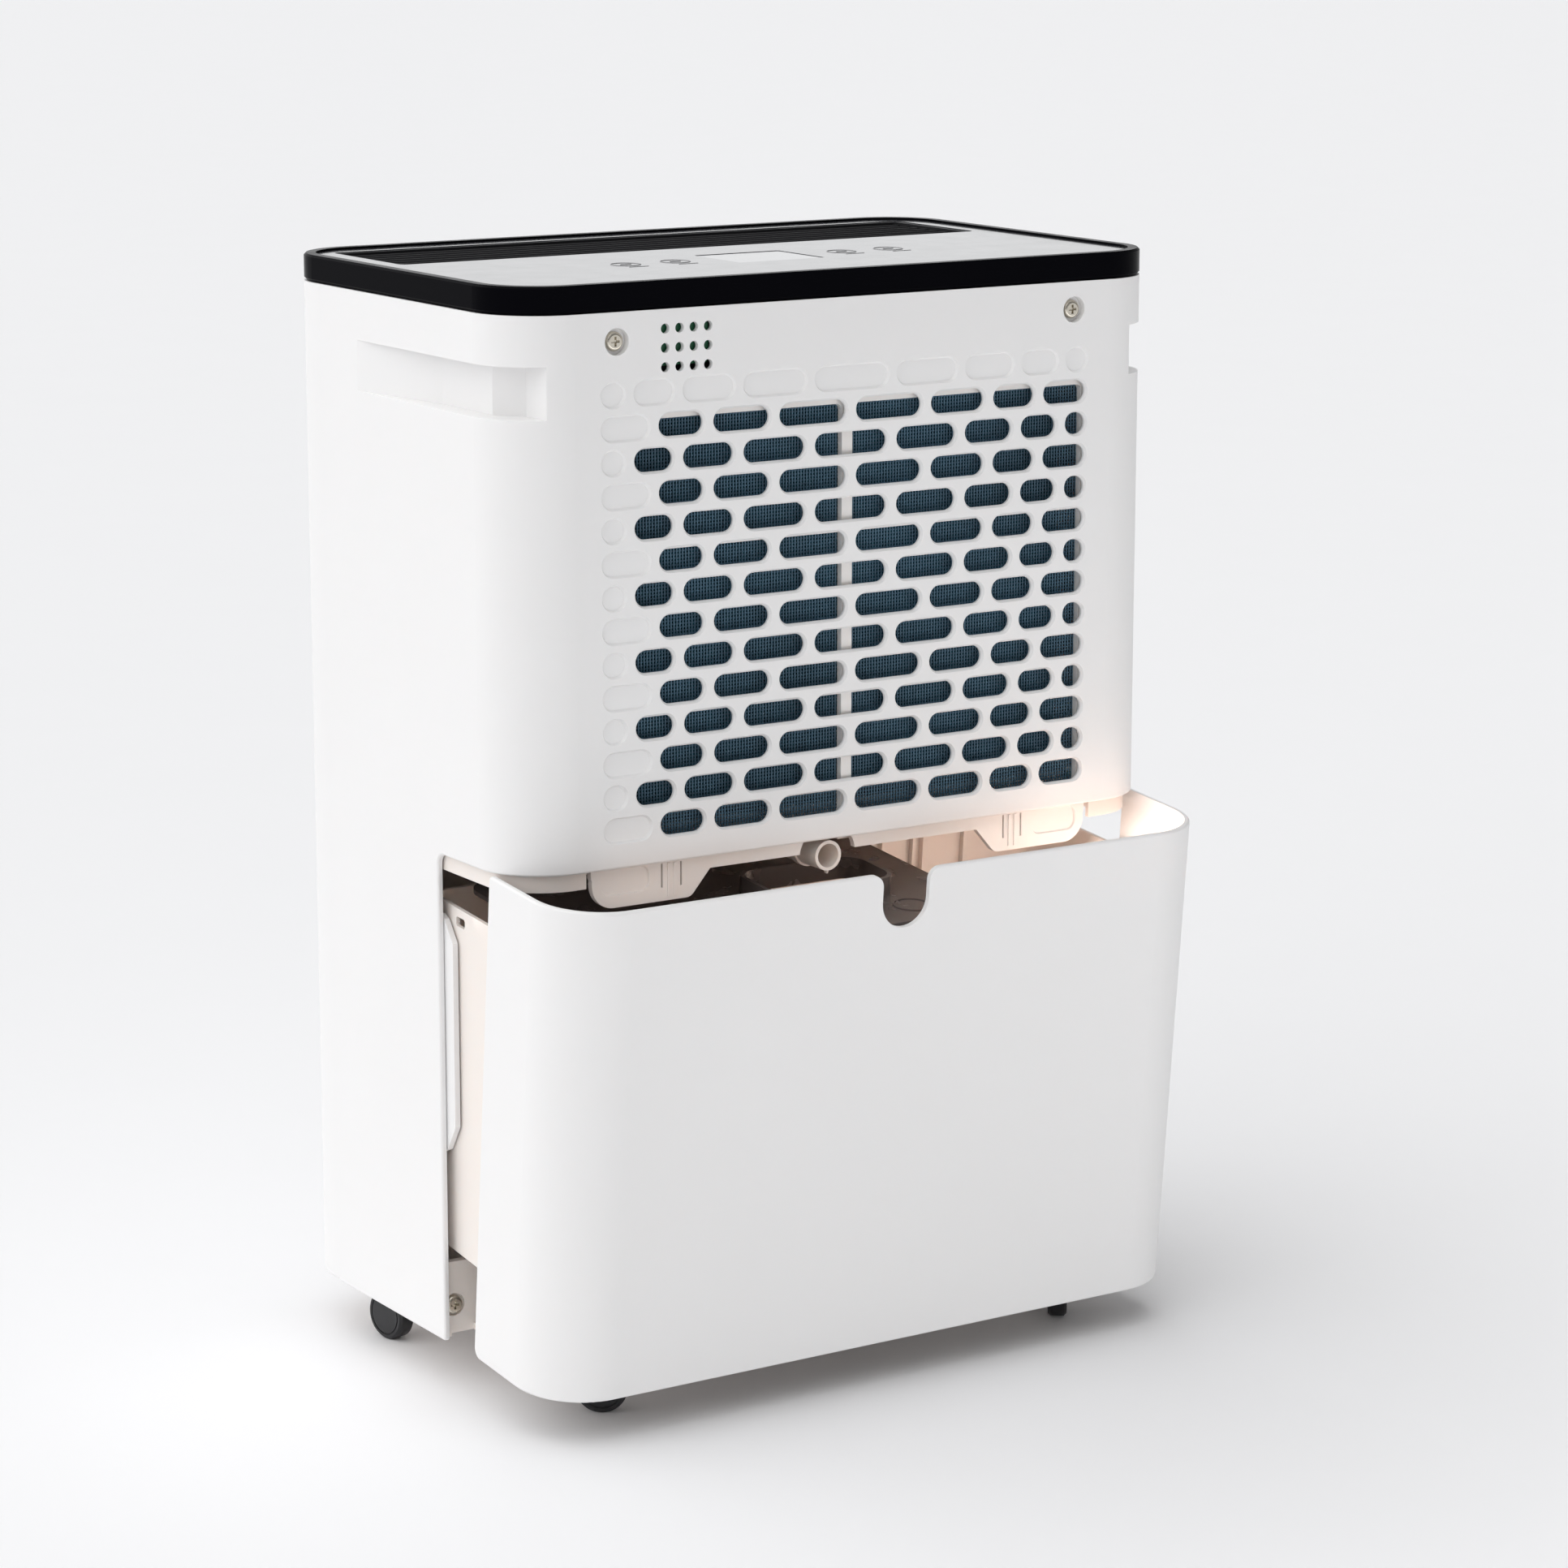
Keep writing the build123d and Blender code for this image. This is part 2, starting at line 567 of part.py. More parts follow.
with BuildPart() as drip_tray:
    with BuildSketch(Plane((0, (TRAY_FRONT + TRAY_REAR) / 2, DECK_TOP + 0.1))):
        RectangleRounded(2 * COIL_HALF + 8, TRAY_REAR - TRAY_FRONT, 6)
    extrude(amount=14)
    with BuildSketch(Plane((0, (TRAY_FRONT + TRAY_REAR) / 2, DECK_TOP + 2.1))):
        RectangleRounded(2 * COIL_HALF + 4, TRAY_REAR - TRAY_FRONT - 4, 4)
    extrude(amount=14, mode=Mode.SUBTRACT)
    with BuildSketch(Plane((DRAIN_X, DRAIN_Y, DECK_TOP))):
        Circle(5)
    extrude(amount=4, mode=Mode.SUBTRACT)
save(drip_tray.part, "drip_tray")

with BuildPart() as drain_spout:
    with BuildSketch(Plane.XZ.offset(-(DRAIN_Y - 8))):
        with Locations((DRAIN_X, DRAIN_Z)):
            Circle(7)
    extrude(amount=-(BODY_Y + 104 - DRAIN_Y + 8))
    with BuildSketch(Plane.XZ.offset(-(BODY_Y + 84))):
        with Locations((DRAIN_X, DRAIN_Z)):
            Circle(8)
    extrude(amount=-4)
    with BuildSketch(Plane((DRAIN_X, DRAIN_Y, DRAIN_Z))):
        Circle(8)
    extrude(amount=DECK_TOP - DRAIN_Z)
    with BuildSketch(Plane.XZ.offset(-(DRAIN_Y - 6))):
        with Locations((DRAIN_X, DRAIN_Z)):
            Circle(5.5)
    extrude(amount=-60, mode=Mode.SUBTRACT)
    with BuildSketch(Plane((DRAIN_X, DRAIN_Y, DRAIN_Z))):
        Circle(5)
    extrude(amount=12, mode=Mode.SUBTRACT)
save(drain_spout.part, "drain_spout")

# --- Heat exchangers: fins pierced by rows of tube, with return bends at the ends ---------------
FIN_PITCH = 10.4
FIN_THICK = 0.6
TUBE_RADIUS = 3.5
TUBE_PITCH = 23.0


def coil(middle_y):
    """One fin-and-tube block as a single brazed solid."""
    with BuildPart() as block:
        fins = int(2 * COIL_HALF / FIN_PITCH) + 1
        tubes = int((COIL_TOP - COIL_BOTTOM) / TUBE_PITCH)
        middle_z = (COIL_TOP + COIL_BOTTOM) / 2
        with BuildSketch(Plane.XZ.offset(-middle_y - COIL_DEPTH / 2)):
            with Locations((0, middle_z)):
                with GridLocations(FIN_PITCH, 0, fins, 1):
                    Rectangle(FIN_THICK, COIL_TOP - COIL_BOTTOM)
        extrude(amount=COIL_DEPTH)
        with BuildSketch(Plane.YZ.offset(-COIL_HALF - 3)):
            with Locations((middle_y, middle_z)):
                with GridLocations(0, TUBE_PITCH, 1, tubes):
                    Circle(TUBE_RADIUS)
        extrude(amount=2 * COIL_HALF + 6)
    return block.part


save(coil(EVAPORATOR_Y), "evaporator")
save(coil(CONDENSER_Y), "condenser")

# --- Compressor, its rubber feet, accumulator and pipes -----------------------------------------
FOOT_HEIGHT = 6.0
COMPRESSOR_BOTTOM = DECK_TOP + FOOT_HEIGHT
COMPRESSOR_TOP = 442.0
FOOT_CIRCLE = 54.0
ACCUMULATOR_X = -36.0
ACCUMULATOR_Y = BODY_Y - 82.0

with BuildPart() as compressor:
    with BuildSketch(Plane((COMPRESSOR_X, COMPRESSOR_Y, COMPRESSOR_BOTTOM + 3))):
        Circle(COMPRESSOR_RADIUS - 2)
    extrude(amount=COMPRESSOR_TOP - COMPRESSOR_BOTTOM - 3)
    fillet(compressor.edges().group_by(Axis.Z)[-1], 18)
    with BuildSketch(Plane((COMPRESSOR_X, COMPRESSOR_Y, COMPRESSOR_BOTTOM))):
        RegularPolygon(FOOT_CIRCLE + 6, 3)
        Circle(COMPRESSOR_RADIUS, mode=Mode.INTERSECT)
        with PolarLocations(COMPRESSOR_RADIUS - 6, 3):
            Circle(5)
    extrude(amount=3)
    with BuildSketch(Plane((COMPRESSOR_X, COMPRESSOR_Y, COMPRESSOR_TOP))):
        Circle(12)
    extrude(amount=6)
save(compressor.part, "compressor")

with BuildPart() as compressor_feet:
    with BuildSketch(Plane((COMPRESSOR_X, COMPRESSOR_Y, DECK_TOP))):
        with PolarLocations(COMPRESSOR_RADIUS - 8, 3):
            Circle(6)
    extrude(amount=FOOT_HEIGHT)
save(compressor_feet.part, "compressor_feet")

with BuildPart() as accumulator:
    with BuildSketch(Plane((ACCUMULATOR_X, ACCUMULATOR_Y, 290))):
        Circle(16)
    extrude(amount=110)
    fillet(accumulator.edges().filter_by(GeomType.CIRCLE), 8)
save(accumulator.part, "accumulator")

PIPE_RADIUS = 3.0
PIPE_ROUTES = {
    "discharge_pipe": [
        (COMPRESSOR_X + 20, COMPRESSOR_Y, COMPRESSOR_TOP + 0.1),
        (COMPRESSOR_X + 20, COMPRESSOR_Y, 484.0),
        (-COIL_HALF - 8, BODY_Y - 4, 484.0),
        (-COIL_HALF - 8, CONDENSER_Y, 470.0),
        (-COIL_HALF - 8, CONDENSER_Y, 452.0),
    ],
    "suction_pipe": [
        (ACCUMULATOR_X, ACCUMULATOR_Y, 400.2),
        (ACCUMULATOR_X, ACCUMULATOR_Y, 474.0),
        (ACCUMULATOR_X, BODY_Y + 24, 474.0),
        (-20.0, EVAPORATOR_Y, 474.0),
        (-20.0, EVAPORATOR_Y, COIL_TOP + 0.2),
    ],
}
for name, route in PIPE_ROUTES.items():
    with BuildPart() as pipe:
        with BuildLine() as path:
            FilletPolyline(*route, radius=7)
        start = Plane(origin=path.line @ 0, z_dir=path.line % 0)
        with BuildSketch(start):
            Circle(PIPE_RADIUS)
        sweep()
    save(pipe.part, name)

# --- Fan: scroll, motor, wheel and shaft --------------------------------------------------------
SCROLL_RADIUS = 84.0
SCROLL_HALF = 28.0
SCROLL_TOP = 496.0
SHELL = 2.0
HUB_BORE = 4.0
MOTOR_LENGTH = 36.0
BLADES = 32


def fan_plane(along):
    """Upright plane square to the fan's axis, facing the front, a distance along the axis."""
    return Plane((FAN_X, FAN_Y + along, FAN_Z), x_dir=(1, 0, 0), z_dir=(0, -1, 0))


with BuildPart() as fan_scroll:
    with BuildSketch(fan_plane(SCROLL_HALF)):
        Circle(SCROLL_RADIUS)
        with Locations((0, (SCROLL_TOP - FAN_Z) / 2)):
            Rectangle(2 * SCROLL_RADIUS, SCROLL_TOP - FAN_Z)
    extrude(amount=2 * SCROLL_HALF)
    with BuildSketch(fan_plane(SCROLL_HALF - SHELL)):
        Circle(SCROLL_RADIUS - SHELL)
        with Locations((0, (SCROLL_TOP - FAN_Z + 5) / 2)):
            Rectangle(2 * SCROLL_RADIUS - 2 * SHELL, SCROLL_TOP - FAN_Z + 5)
    extrude(amount=2 * SCROLL_HALF - 2 * SHELL, mode=Mode.SUBTRACT)
    # Air inlet at the back, and the shaft's hole at the motor end.
    with BuildSketch(fan_plane(SCROLL_HALF)):
        Circle(FAN_RADIUS - 8)
    extrude(amount=SHELL, mode=Mode.SUBTRACT)
    with BuildSketch(fan_plane(SHELL - SCROLL_HALF)):
        Circle(HUB_BORE + 3)
    extrude(amount=SHELL, mode=Mode.SUBTRACT)
save(fan_scroll.part, "fan_scroll")

with BuildPart() as fan_motor:
    with BuildSketch(fan_plane(-SCROLL_HALF)):
        Circle(32)
    extrude(amount=MOTOR_LENGTH)
    fillet(fan_motor.edges().group_by(Axis.Y)[0], 5)
    with BuildSketch(fan_plane(-SCROLL_HALF)):
        Circle(HUB_BORE + RUNNING)
    extrude(amount=MOTOR_LENGTH - 6, mode=Mode.SUBTRACT)
save(fan_motor.part, "fan_motor")

with BuildPart() as impeller:
    wheel_back = Plane((FAN_X, FAN_Y - SCROLL_HALF + 6, FAN_Z), z_dir=(0, 1, 0))
    with BuildSketch(wheel_back):
        Circle(FAN_RADIUS - 2)
        Circle(HUB_BORE, mode=Mode.SUBTRACT)
    extrude(amount=2)
    with BuildSketch(wheel_back):
        Circle(12)
        Circle(HUB_BORE, mode=Mode.SUBTRACT)
    extrude(amount=22)
    with BuildSketch(wheel_back):
        with PolarLocations(FAN_RADIUS - 9, BLADES):
            Rectangle(13, 1.6, rotation=35)
    extrude(amount=44)
    with BuildSketch(wheel_back.offset(42)):
        Circle(FAN_RADIUS - 2)
        Circle(FAN_RADIUS - 16, mode=Mode.SUBTRACT)
    extrude(amount=2)
save(impeller.part, "impeller")

with BuildPart() as fan_shaft:
    with BuildSketch(Plane((FAN_X, FAN_Y - SCROLL_HALF - MOTOR_LENGTH + 8, FAN_Z), z_dir=(0, 1, 0))):
        Circle(HUB_BORE)
    extrude(amount=MOTOR_LENGTH - 8 + 6 + 24)
save(fan_shaft.part, "fan_shaft")

# --- Electrics ----------------------------------------------------------------------------------
with BuildPart() as display_board:
    with BuildSketch(Plane((0, BODY_Y + 36, 490))):
        Rectangle(150, 60)
    extrude(amount=1.6)
    with BuildSketch(Plane((0, BODY_Y + 30, 491.6))):
        Rectangle(44, 36)
        with GridLocations(28, 0, 5, 1):
            Circle(5)
    extrude(amount=6)
save(display_board.part, "display_board")

with BuildPart() as control_box:
    with BuildSketch(Plane((20, BODY_Y - 72, 90))):
        RectangleRounded(130, 44, 4)
    extrude(amount=100)
    with BuildSketch(Plane((20, BODY_Y - 72, 130))):
        with Locations((0, -22)):
            Rectangle(110, 4)
    extrude(amount=30, mode=Mode.SUBTRACT)
save(control_box.part, "control_box")

with BuildPart() as run_capacitor:
    with BuildSketch(Plane((-90, BODY_Y - 72, PAN_TOP))):
        Circle(18)
    extrude(amount=70)
    fillet(run_capacitor.edges().group_by(Axis.Z)[-1], 3)
save(run_capacitor.part, "run_capacitor")

with BuildPart() as humidity_sensor:
    with BuildSketch(Plane.XZ.offset(-(REAR - WALL - 1))):
        with Locations((VENT_X, VENT_Z + 1)):
            RectangleRounded(26, 18, 2)
    extrude(amount=6)
save(humidity_sensor.part, "humidity_sensor")

with BuildPart() as reed_switch:
    with BuildSketch(Plane((110, BODY_Y + BUCKET_FRONT + 4, 240))):
        RectangleRounded(24, 10, 2)
    extrude(amount=DECK_BOTTOM - 240)
save(reed_switch.part, "reed_switch")

with BuildPart() as mains_inlet:
    with BuildSketch(Plane((INLET_X, INLET_Y, BODY_BOTTOM + 0.6))):
        Circle(INLET_RADIUS)
        Circle(3.6, mode=Mode.SUBTRACT)
    extrude(amount=12)
    with BuildSketch(Plane((INLET_X, INLET_Y, PAN_TOP + 0.1))):
        Circle(INLET_RADIUS + 2)
        Circle(3.6, mode=Mode.SUBTRACT)
    extrude(amount=3)
save(mains_inlet.part, "mains_inlet")


# --- Screws -------------------------------------------------------------------------------------
def pan_head_screws(places, head_y, length):
    """A group of cross-slot pan-head screws pointing into the body along -Y."""
    with BuildPart() as screws:
        with BuildSketch(Plane.XZ.offset(-head_y)):
            with Locations(*places):
                Circle(HEAD_RADIUS)
        extrude(amount=-HEAD_HEIGHT)
        fillet(screws.edges().group_by(Axis.Y)[-1], 1.5)
        with BuildSketch(Plane.XZ.offset(-head_y)):
            with Locations(*places):
                Circle(SHANK_RADIUS)
        extrude(amount=length)
        with BuildSketch(Plane.XZ.offset(-(head_y + HEAD_HEIGHT))):
            with Locations(*places):
                Rectangle(4.2, 1.1)
                Rectangle(1.1, 4.2)
        extrude(amount=1.6, mode=Mode.SUBTRACT)
    return screws.part


upper_places = [(SCREW_X, SCREW_Z), (-SCREW_X, SCREW_Z)]
save(pan_head_screws(upper_places, REAR - SCREW_SINK - HEAD_HEIGHT, 9.0), "upper_screws")
base_places = [(BASE_SCREW_X, BASE_SCREW_Z), (-BASE_SCREW_X, BASE_SCREW_Z)]
save(pan_head_screws(base_places, FLANGE_Y - 1.6, 7.0), "base_screws")

# --- Tank: cover, bucket, lid and float, drawn closed and then tipped ---------------------------
NOTCH_RADIUS = 12.5
NOTCH_BOTTOM = 227.0
NOTCH_SHOULDER = 6.0
BUCKET_WALL = 2.0
BUCKET_REAR = REAR - WALL - 0.3
BUCKET_RISE_END = BODY_Y + 67.8
BUCKET_SLOPE = 0.035
BUCKET_FRONT_Y = BODY_Y + BUCKET_FRONT
BUCKET_FRONT_FLOOR = BUCKET_FLOOR + BUCKET_SLOPE * (BUCKET_RISE_END - BUCKET_FRONT_Y)
LID_LEFT = 152.0
LID_RIGHT = -54.0
LID_FRONT = BUCKET_FRONT_Y + 3
LID_REAR = BUCKET_REAR - 1.0
COLLAR_Y = BODY_Y + 49.0

with BuildPart() as tank_cover:
    with BuildSketch(level(BODY_BOTTOM)):
        RectangleRounded(WIDTH, DEPTH, CORNER)
    extrude(amount=TANK_TOP - BODY_BOTTOM)
    with BuildSketch(level(BODY_BOTTOM)):
        RectangleRounded(WIDTH, DEPTH, CORNER)
        offset(amount=-WALL, mode=Mode.REPLACE)
    extrude(amount=TANK_TOP - BODY_BOTTOM, mode=Mode.SUBTRACT)
    with BuildSketch(Plane.XY.offset(BODY_BOTTOM)):
        with Locations((0, BODY_Y + TANK_LEAD - DEPTH)):
            Rectangle(2 * WIDTH, 2 * DEPTH)
    extrude(amount=TANK_TOP - BODY_BOTTOM, mode=Mode.SUBTRACT)
    # Rounded corners at the foot and head of both leading edges.
    leads = tank_cover.edges().group_by(Axis.Y)[0].filter_by(Axis.X)
    fillet(leads.group_by(Axis.Z)[0], 5)
    fillet(leads.group_by(Axis.Z)[-1], 2)
    fillet(tank_cover.edges().group_by(Axis.Z)[-1].filter_by(on_outer_skin), 1.2)
    # Finger notch: parallel sides, round bottom and rounded shoulders.
    with BuildSketch(Plane.XZ.offset(-REAR - 1)):
        with Locations((0, NOTCH_BOTTOM + NOTCH_RADIUS)):
            Circle(NOTCH_RADIUS)
        with Locations((0, (NOTCH_BOTTOM + NOTCH_RADIUS + TANK_TOP) / 2)):
            Rectangle(2 * NOTCH_RADIUS, TANK_TOP - NOTCH_BOTTOM - NOTCH_RADIUS)
        for side in (-1, 1):
            with Locations((side * (NOTCH_RADIUS + NOTCH_SHOULDER / 2), TANK_TOP - NOTCH_SHOULDER / 2)):
                Rectangle(NOTCH_SHOULDER, NOTCH_SHOULDER)
            with Locations((side * (NOTCH_RADIUS + NOTCH_SHOULDER), TANK_TOP - NOTCH_SHOULDER)):
                Circle(NOTCH_SHOULDER, mode=Mode.SUBTRACT)
    extrude(amount=WALL + 3, mode=Mode.SUBTRACT)
save(tipped(tank_cover.part), "tank_cover")


def bucket_profile(inset):
    """Side view of the bucket, every face moved inward by inset."""
    slope_shift = inset * math.sqrt(1 + BUCKET_SLOPE ** 2)
    front = BUCKET_FRONT_Y + inset
    floor = BUCKET_FLOOR + inset
    rise_end = BUCKET_RISE_END + (slope_shift - inset) / BUCKET_SLOPE
    front_floor = BUCKET_FRONT_FLOOR + slope_shift - inset * BUCKET_SLOPE
    return [
        (REAR - inset, floor),
        (rise_end, floor),
        (front, front_floor),
        (front, BUCKET_TOP + inset * 5),
        (REAR - inset, BUCKET_TOP + inset * 5),
    ]


def bucket_solid(inset):
    """The bucket's outer form, or the space inside it for a positive inset."""
    with BuildPart() as form:
        with BuildSketch(Plane.YZ.offset(-HALF)):
            with BuildLine():
                Polyline(*bucket_profile(inset), close=True)
            make_face()
        extrude(amount=WIDTH)
        with BuildSketch(Plane.XY) as plan:
            with Locations((0, (BUCKET_FRONT_Y + BUCKET_REAR) / 2)):
                Rectangle(2 * BUCKET_HALF - 2 * inset, BUCKET_REAR - BUCKET_FRONT_Y - 2 * inset)
            corners = plan.vertices().group_by(Axis.Y)
            fillet(corners[-1], CORNER - WALL - inset - 1)
            fillet(plan.vertices().group_by(Axis.Y)[0], 8 - inset)
        extrude(amount=HOUSING_EDGE, mode=Mode.INTERSECT)
    return form.part


with BuildPart() as tank_bucket:
    add(bucket_solid(0))
    add(bucket_solid(BUCKET_WALL), mode=Mode.SUBTRACT)
    # Vertical ribs on the front wall's inside.
    with BuildSketch(Plane.XY.offset(BUCKET_FRONT_FLOOR + 4)):
        with Locations(*[(x, BUCKET_FRONT_Y + 3) for x in (-72, -78, -96, -102, -126)]):
            Rectangle(1.6, 4)
    extrude(amount=BUCKET_TOP - BUCKET_FRONT_FLOOR - 4)
    # Slot near the top of each side wall.
    with BuildSketch(Plane.YZ.offset(-HALF)):
        with Locations((BODY_Y + 1.5, BUCKET_TOP - 6)):
            RectangleRounded(8, 4.4, 1.2)
    extrude(amount=WIDTH, mode=Mode.SUBTRACT)
    # Ears for the float's pin.
    with BuildSketch(Plane.YZ.offset(FLOAT_X - FLOAT_HALF - 3.4)):
        with Locations((FLOAT_PIN_Y - 4, FLOAT_PIN_Z)):
            Rectangle(10, 8)
    extrude(amount=3)
    with BuildSketch(Plane.YZ.offset(FLOAT_X + FLOAT_HALF + 0.4)):
        with Locations((FLOAT_PIN_Y - 4, FLOAT_PIN_Z)):
            Rectangle(10, 8)
    extrude(amount=3)
    with BuildSketch(Plane.YZ.offset(FLOAT_X - FLOAT_HALF - 5)):
        with Locations((FLOAT_PIN_Y, FLOAT_PIN_Z)):
            Circle(FLOAT_PIN_RADIUS)
    extrude(amount=2 * FLOAT_HALF + 10, mode=Mode.SUBTRACT)
save(tipped(tank_bucket.part), "tank_bucket")

with BuildPart() as tank_lid:
    with BuildSketch(Plane.XY.offset(BUCKET_TOP + 0.1)):
        with Locations(((LID_LEFT + LID_RIGHT) / 2, (LID_FRONT + LID_REAR) / 2)):
            RectangleRounded(LID_LEFT - LID_RIGHT, LID_REAR - LID_FRONT, 14)
        with Locations((DRAIN_X, COLLAR_Y)):
            RectangleRounded(64, 34, 9, mode=Mode.SUBTRACT)
    extrude(amount=LID_THICK)
    with BuildSketch(Plane.XY.offset(BUCKET_TOP + 0.1)):
        with Locations((DRAIN_X, COLLAR_Y)):
            RectangleRounded(68, 38, 11)
            RectangleRounded(64, 34, 9, mode=Mode.SUBTRACT)
    extrude(amount=COLLAR_TOP - BUCKET_TOP - 0.1)
    # Dip in the collar's rear wall, under the spout.
    with BuildSketch(Plane.XZ.offset(-(COLLAR_Y + 24))):
        with Locations((DRAIN_X + 2, COLLAR_TOP)):
            Trapezoid(30, 6, 60, align=(Align.CENTER, Align.CENTER), rotation=180)
    extrude(amount=10, mode=Mode.SUBTRACT)
    # Shallow embossed rings.
    with BuildSketch(Plane.XY.offset(BUCKET_TOP + LID_THICK)):
        with Locations((96, BODY_Y + 74), (-20, BODY_Y + 84)):
            Circle(9)
            Circle(8.2, mode=Mode.SUBTRACT)
    extrude(amount=0.5)
save(tipped(tank_lid.part), "tank_lid")

with BuildPart() as tank_float:
    with BuildSketch(Plane((FLOAT_X, FLOAT_PIN_Y, FLOAT_PIN_Z), x_dir=(0, 1, 0), z_dir=(1, 0, 0))):
        Circle(3.4)
        with Locations((9, -5)):
            Rectangle(18, 4)
        with Locations((26, -12)):
            RectangleRounded(26, 20, 3)
    extrude(amount=FLOAT_HALF, both=True)
    with BuildSketch(Plane((FLOAT_X, FLOAT_PIN_Y, FLOAT_PIN_Z), x_dir=(0, 1, 0), z_dir=(1, 0, 0))):
        Circle(FLOAT_PIN_RADIUS + RUNNING)
    extrude(amount=FLOAT_HALF, both=True, mode=Mode.SUBTRACT)
    with BuildSketch(Plane((FLOAT_X, FLOAT_PIN_Y + 26, FLOAT_PIN_Z - 2))):
        Circle(4)
    extrude(amount=-4, mode=Mode.SUBTRACT)
save(tipped(tank_float.part), "tank_float")

with BuildPart() as float_magnet:
    with BuildSketch(Plane((FLOAT_X, FLOAT_PIN_Y + 26, FLOAT_PIN_Z - 2))):
        Circle(4)
    extrude(amount=-4)
save(tipped(float_magnet.part), "float_magnet")

with BuildPart() as float_pin:
    with BuildSketch(Plane.YZ.offset(FLOAT_X - FLOAT_HALF - 3.4)):
        with Locations((FLOAT_PIN_Y, FLOAT_PIN_Z)):
            Circle(FLOAT_PIN_RADIUS)
    extrude(amount=2 * FLOAT_HALF + 6.8)
save(tipped(float_pin.part), "float_pin")

# --- Casters: fork with its swivel stem, axle and wheel, four times -----------------------------
ARM_THICK = 3.0
AXLE_RADIUS = 1.8
PLATE_BOTTOM = 2 * WHEEL_RADIUS + 0.5

for corner, (stem_x, stem_y, turn) in CASTERS.items():
    # Each caster is drawn about its own stem, trailing towards +Y, its open face towards +X.
    side = 1 if stem_x > 0 else -1
    with BuildPart() as fork:
        with BuildSketch(Plane.XY.offset(PLATE_BOTTOM)):
            Circle(8.5)
        extrude(amount=PAN_BOTTOM - PLATE_BOTTOM - 0.3)
        with BuildSketch(Plane.XY.offset(PLATE_BOTTOM)):
            Circle(STEM_RADIUS)
        extrude(amount=SOCKET_TOP - PLATE_BOTTOM)
        with BuildSketch(Plane.YZ.offset(-side * (WHEEL_WIDTH / 2 + 0.5))):
            with Locations((TRAIL, WHEEL_RADIUS)):
                Circle(5)
            with BuildLine():
                Polyline(
                    (-6, PLATE_BOTTOM + 0.6), (TRAIL - 4.6, WHEEL_RADIUS - 2),
                    (TRAIL + 4.8, WHEEL_RADIUS + 1), (7, PLATE_BOTTOM + 0.6), close=True,
                )
            make_face()
        extrude(amount=-side * ARM_THICK)
        with BuildSketch(Plane.YZ):
            with Locations((TRAIL, WHEEL_RADIUS)):
                Circle(AXLE_RADIUS)
        extrude(amount=-side * 20, mode=Mode.SUBTRACT)
    with BuildPart() as axle:
        with BuildSketch(Plane.YZ.offset(-side * (WHEEL_WIDTH / 2 + 0.5 + ARM_THICK))):
            with Locations((TRAIL, WHEEL_RADIUS)):
                Circle(AXLE_RADIUS)
        extrude(amount=side * (WHEEL_WIDTH + ARM_THICK - 1.5))
    with BuildPart() as wheel:
        with BuildSketch(Plane.YZ.offset(-WHEEL_WIDTH / 2)):
            with Locations((TRAIL, WHEEL_RADIUS)):
                Circle(WHEEL_RADIUS)
        extrude(amount=WHEEL_WIDTH)
        chamfer(wheel.edges().filter_by(GeomType.CIRCLE), 1.2)
        with BuildSketch(Plane.YZ.offset(side * WHEEL_WIDTH / 2)):
            with Locations((TRAIL, WHEEL_RADIUS)):
                Circle(WHEEL_RADIUS - 2.4)
                Circle(WHEEL_RADIUS - 3.0, mode=Mode.SUBTRACT)
        extrude(amount=-side * 0.5, mode=Mode.SUBTRACT)
        with BuildSketch(Plane.YZ.offset(-side * WHEEL_WIDTH / 2)):
            with Locations((TRAIL, WHEEL_RADIUS)):
                Circle(AXLE_RADIUS + RUNNING)
        extrude(amount=side * (WHEEL_WIDTH - 1.2), mode=Mode.SUBTRACT)
    place = Pos(stem_x, stem_y, 0) * Rot(0, 0, turn)
    for piece, name in ((fork, "fork"), (axle, "axle"), (wheel, "wheel")):
        save(place * piece.part, f"caster_{name}_{corner}")
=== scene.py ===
# %% [markdown]
# # A dehumidifier with its water tank tipped out
# The machine's solid parts come from CAD. They are loaded as a fixed frame, and everything made here sits
# in that same frame: metres, Z up, the origin on the floor under the middle of the footprint. The tank and
# the intake grille face +Y.

import json
import math

import bmesh
import bpy
from mathutils import Matrix, Vector


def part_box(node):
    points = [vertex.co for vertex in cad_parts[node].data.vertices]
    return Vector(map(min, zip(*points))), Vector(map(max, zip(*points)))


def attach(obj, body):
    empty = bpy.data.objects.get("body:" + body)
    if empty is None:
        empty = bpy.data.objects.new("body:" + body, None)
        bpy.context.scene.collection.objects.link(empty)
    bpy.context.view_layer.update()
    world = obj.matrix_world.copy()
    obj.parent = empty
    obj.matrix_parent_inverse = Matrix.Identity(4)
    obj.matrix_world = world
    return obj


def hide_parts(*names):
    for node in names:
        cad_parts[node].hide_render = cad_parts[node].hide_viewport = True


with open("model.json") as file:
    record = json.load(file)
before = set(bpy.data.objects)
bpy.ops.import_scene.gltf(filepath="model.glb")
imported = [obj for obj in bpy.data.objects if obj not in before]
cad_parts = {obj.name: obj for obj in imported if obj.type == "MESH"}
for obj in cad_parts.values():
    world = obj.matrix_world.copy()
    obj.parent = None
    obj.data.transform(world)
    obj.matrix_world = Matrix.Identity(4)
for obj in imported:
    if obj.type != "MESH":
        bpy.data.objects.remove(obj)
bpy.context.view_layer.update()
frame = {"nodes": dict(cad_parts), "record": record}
slot_facts = {m["slot"]: m for m in frame["record"]["materials"]}
node_slots = {s["node"]: s["material_slot"] for s in frame["record"]["subparts"]}
print("loaded", len(frame["nodes"]), "parts and", len(slot_facts), "finishes")

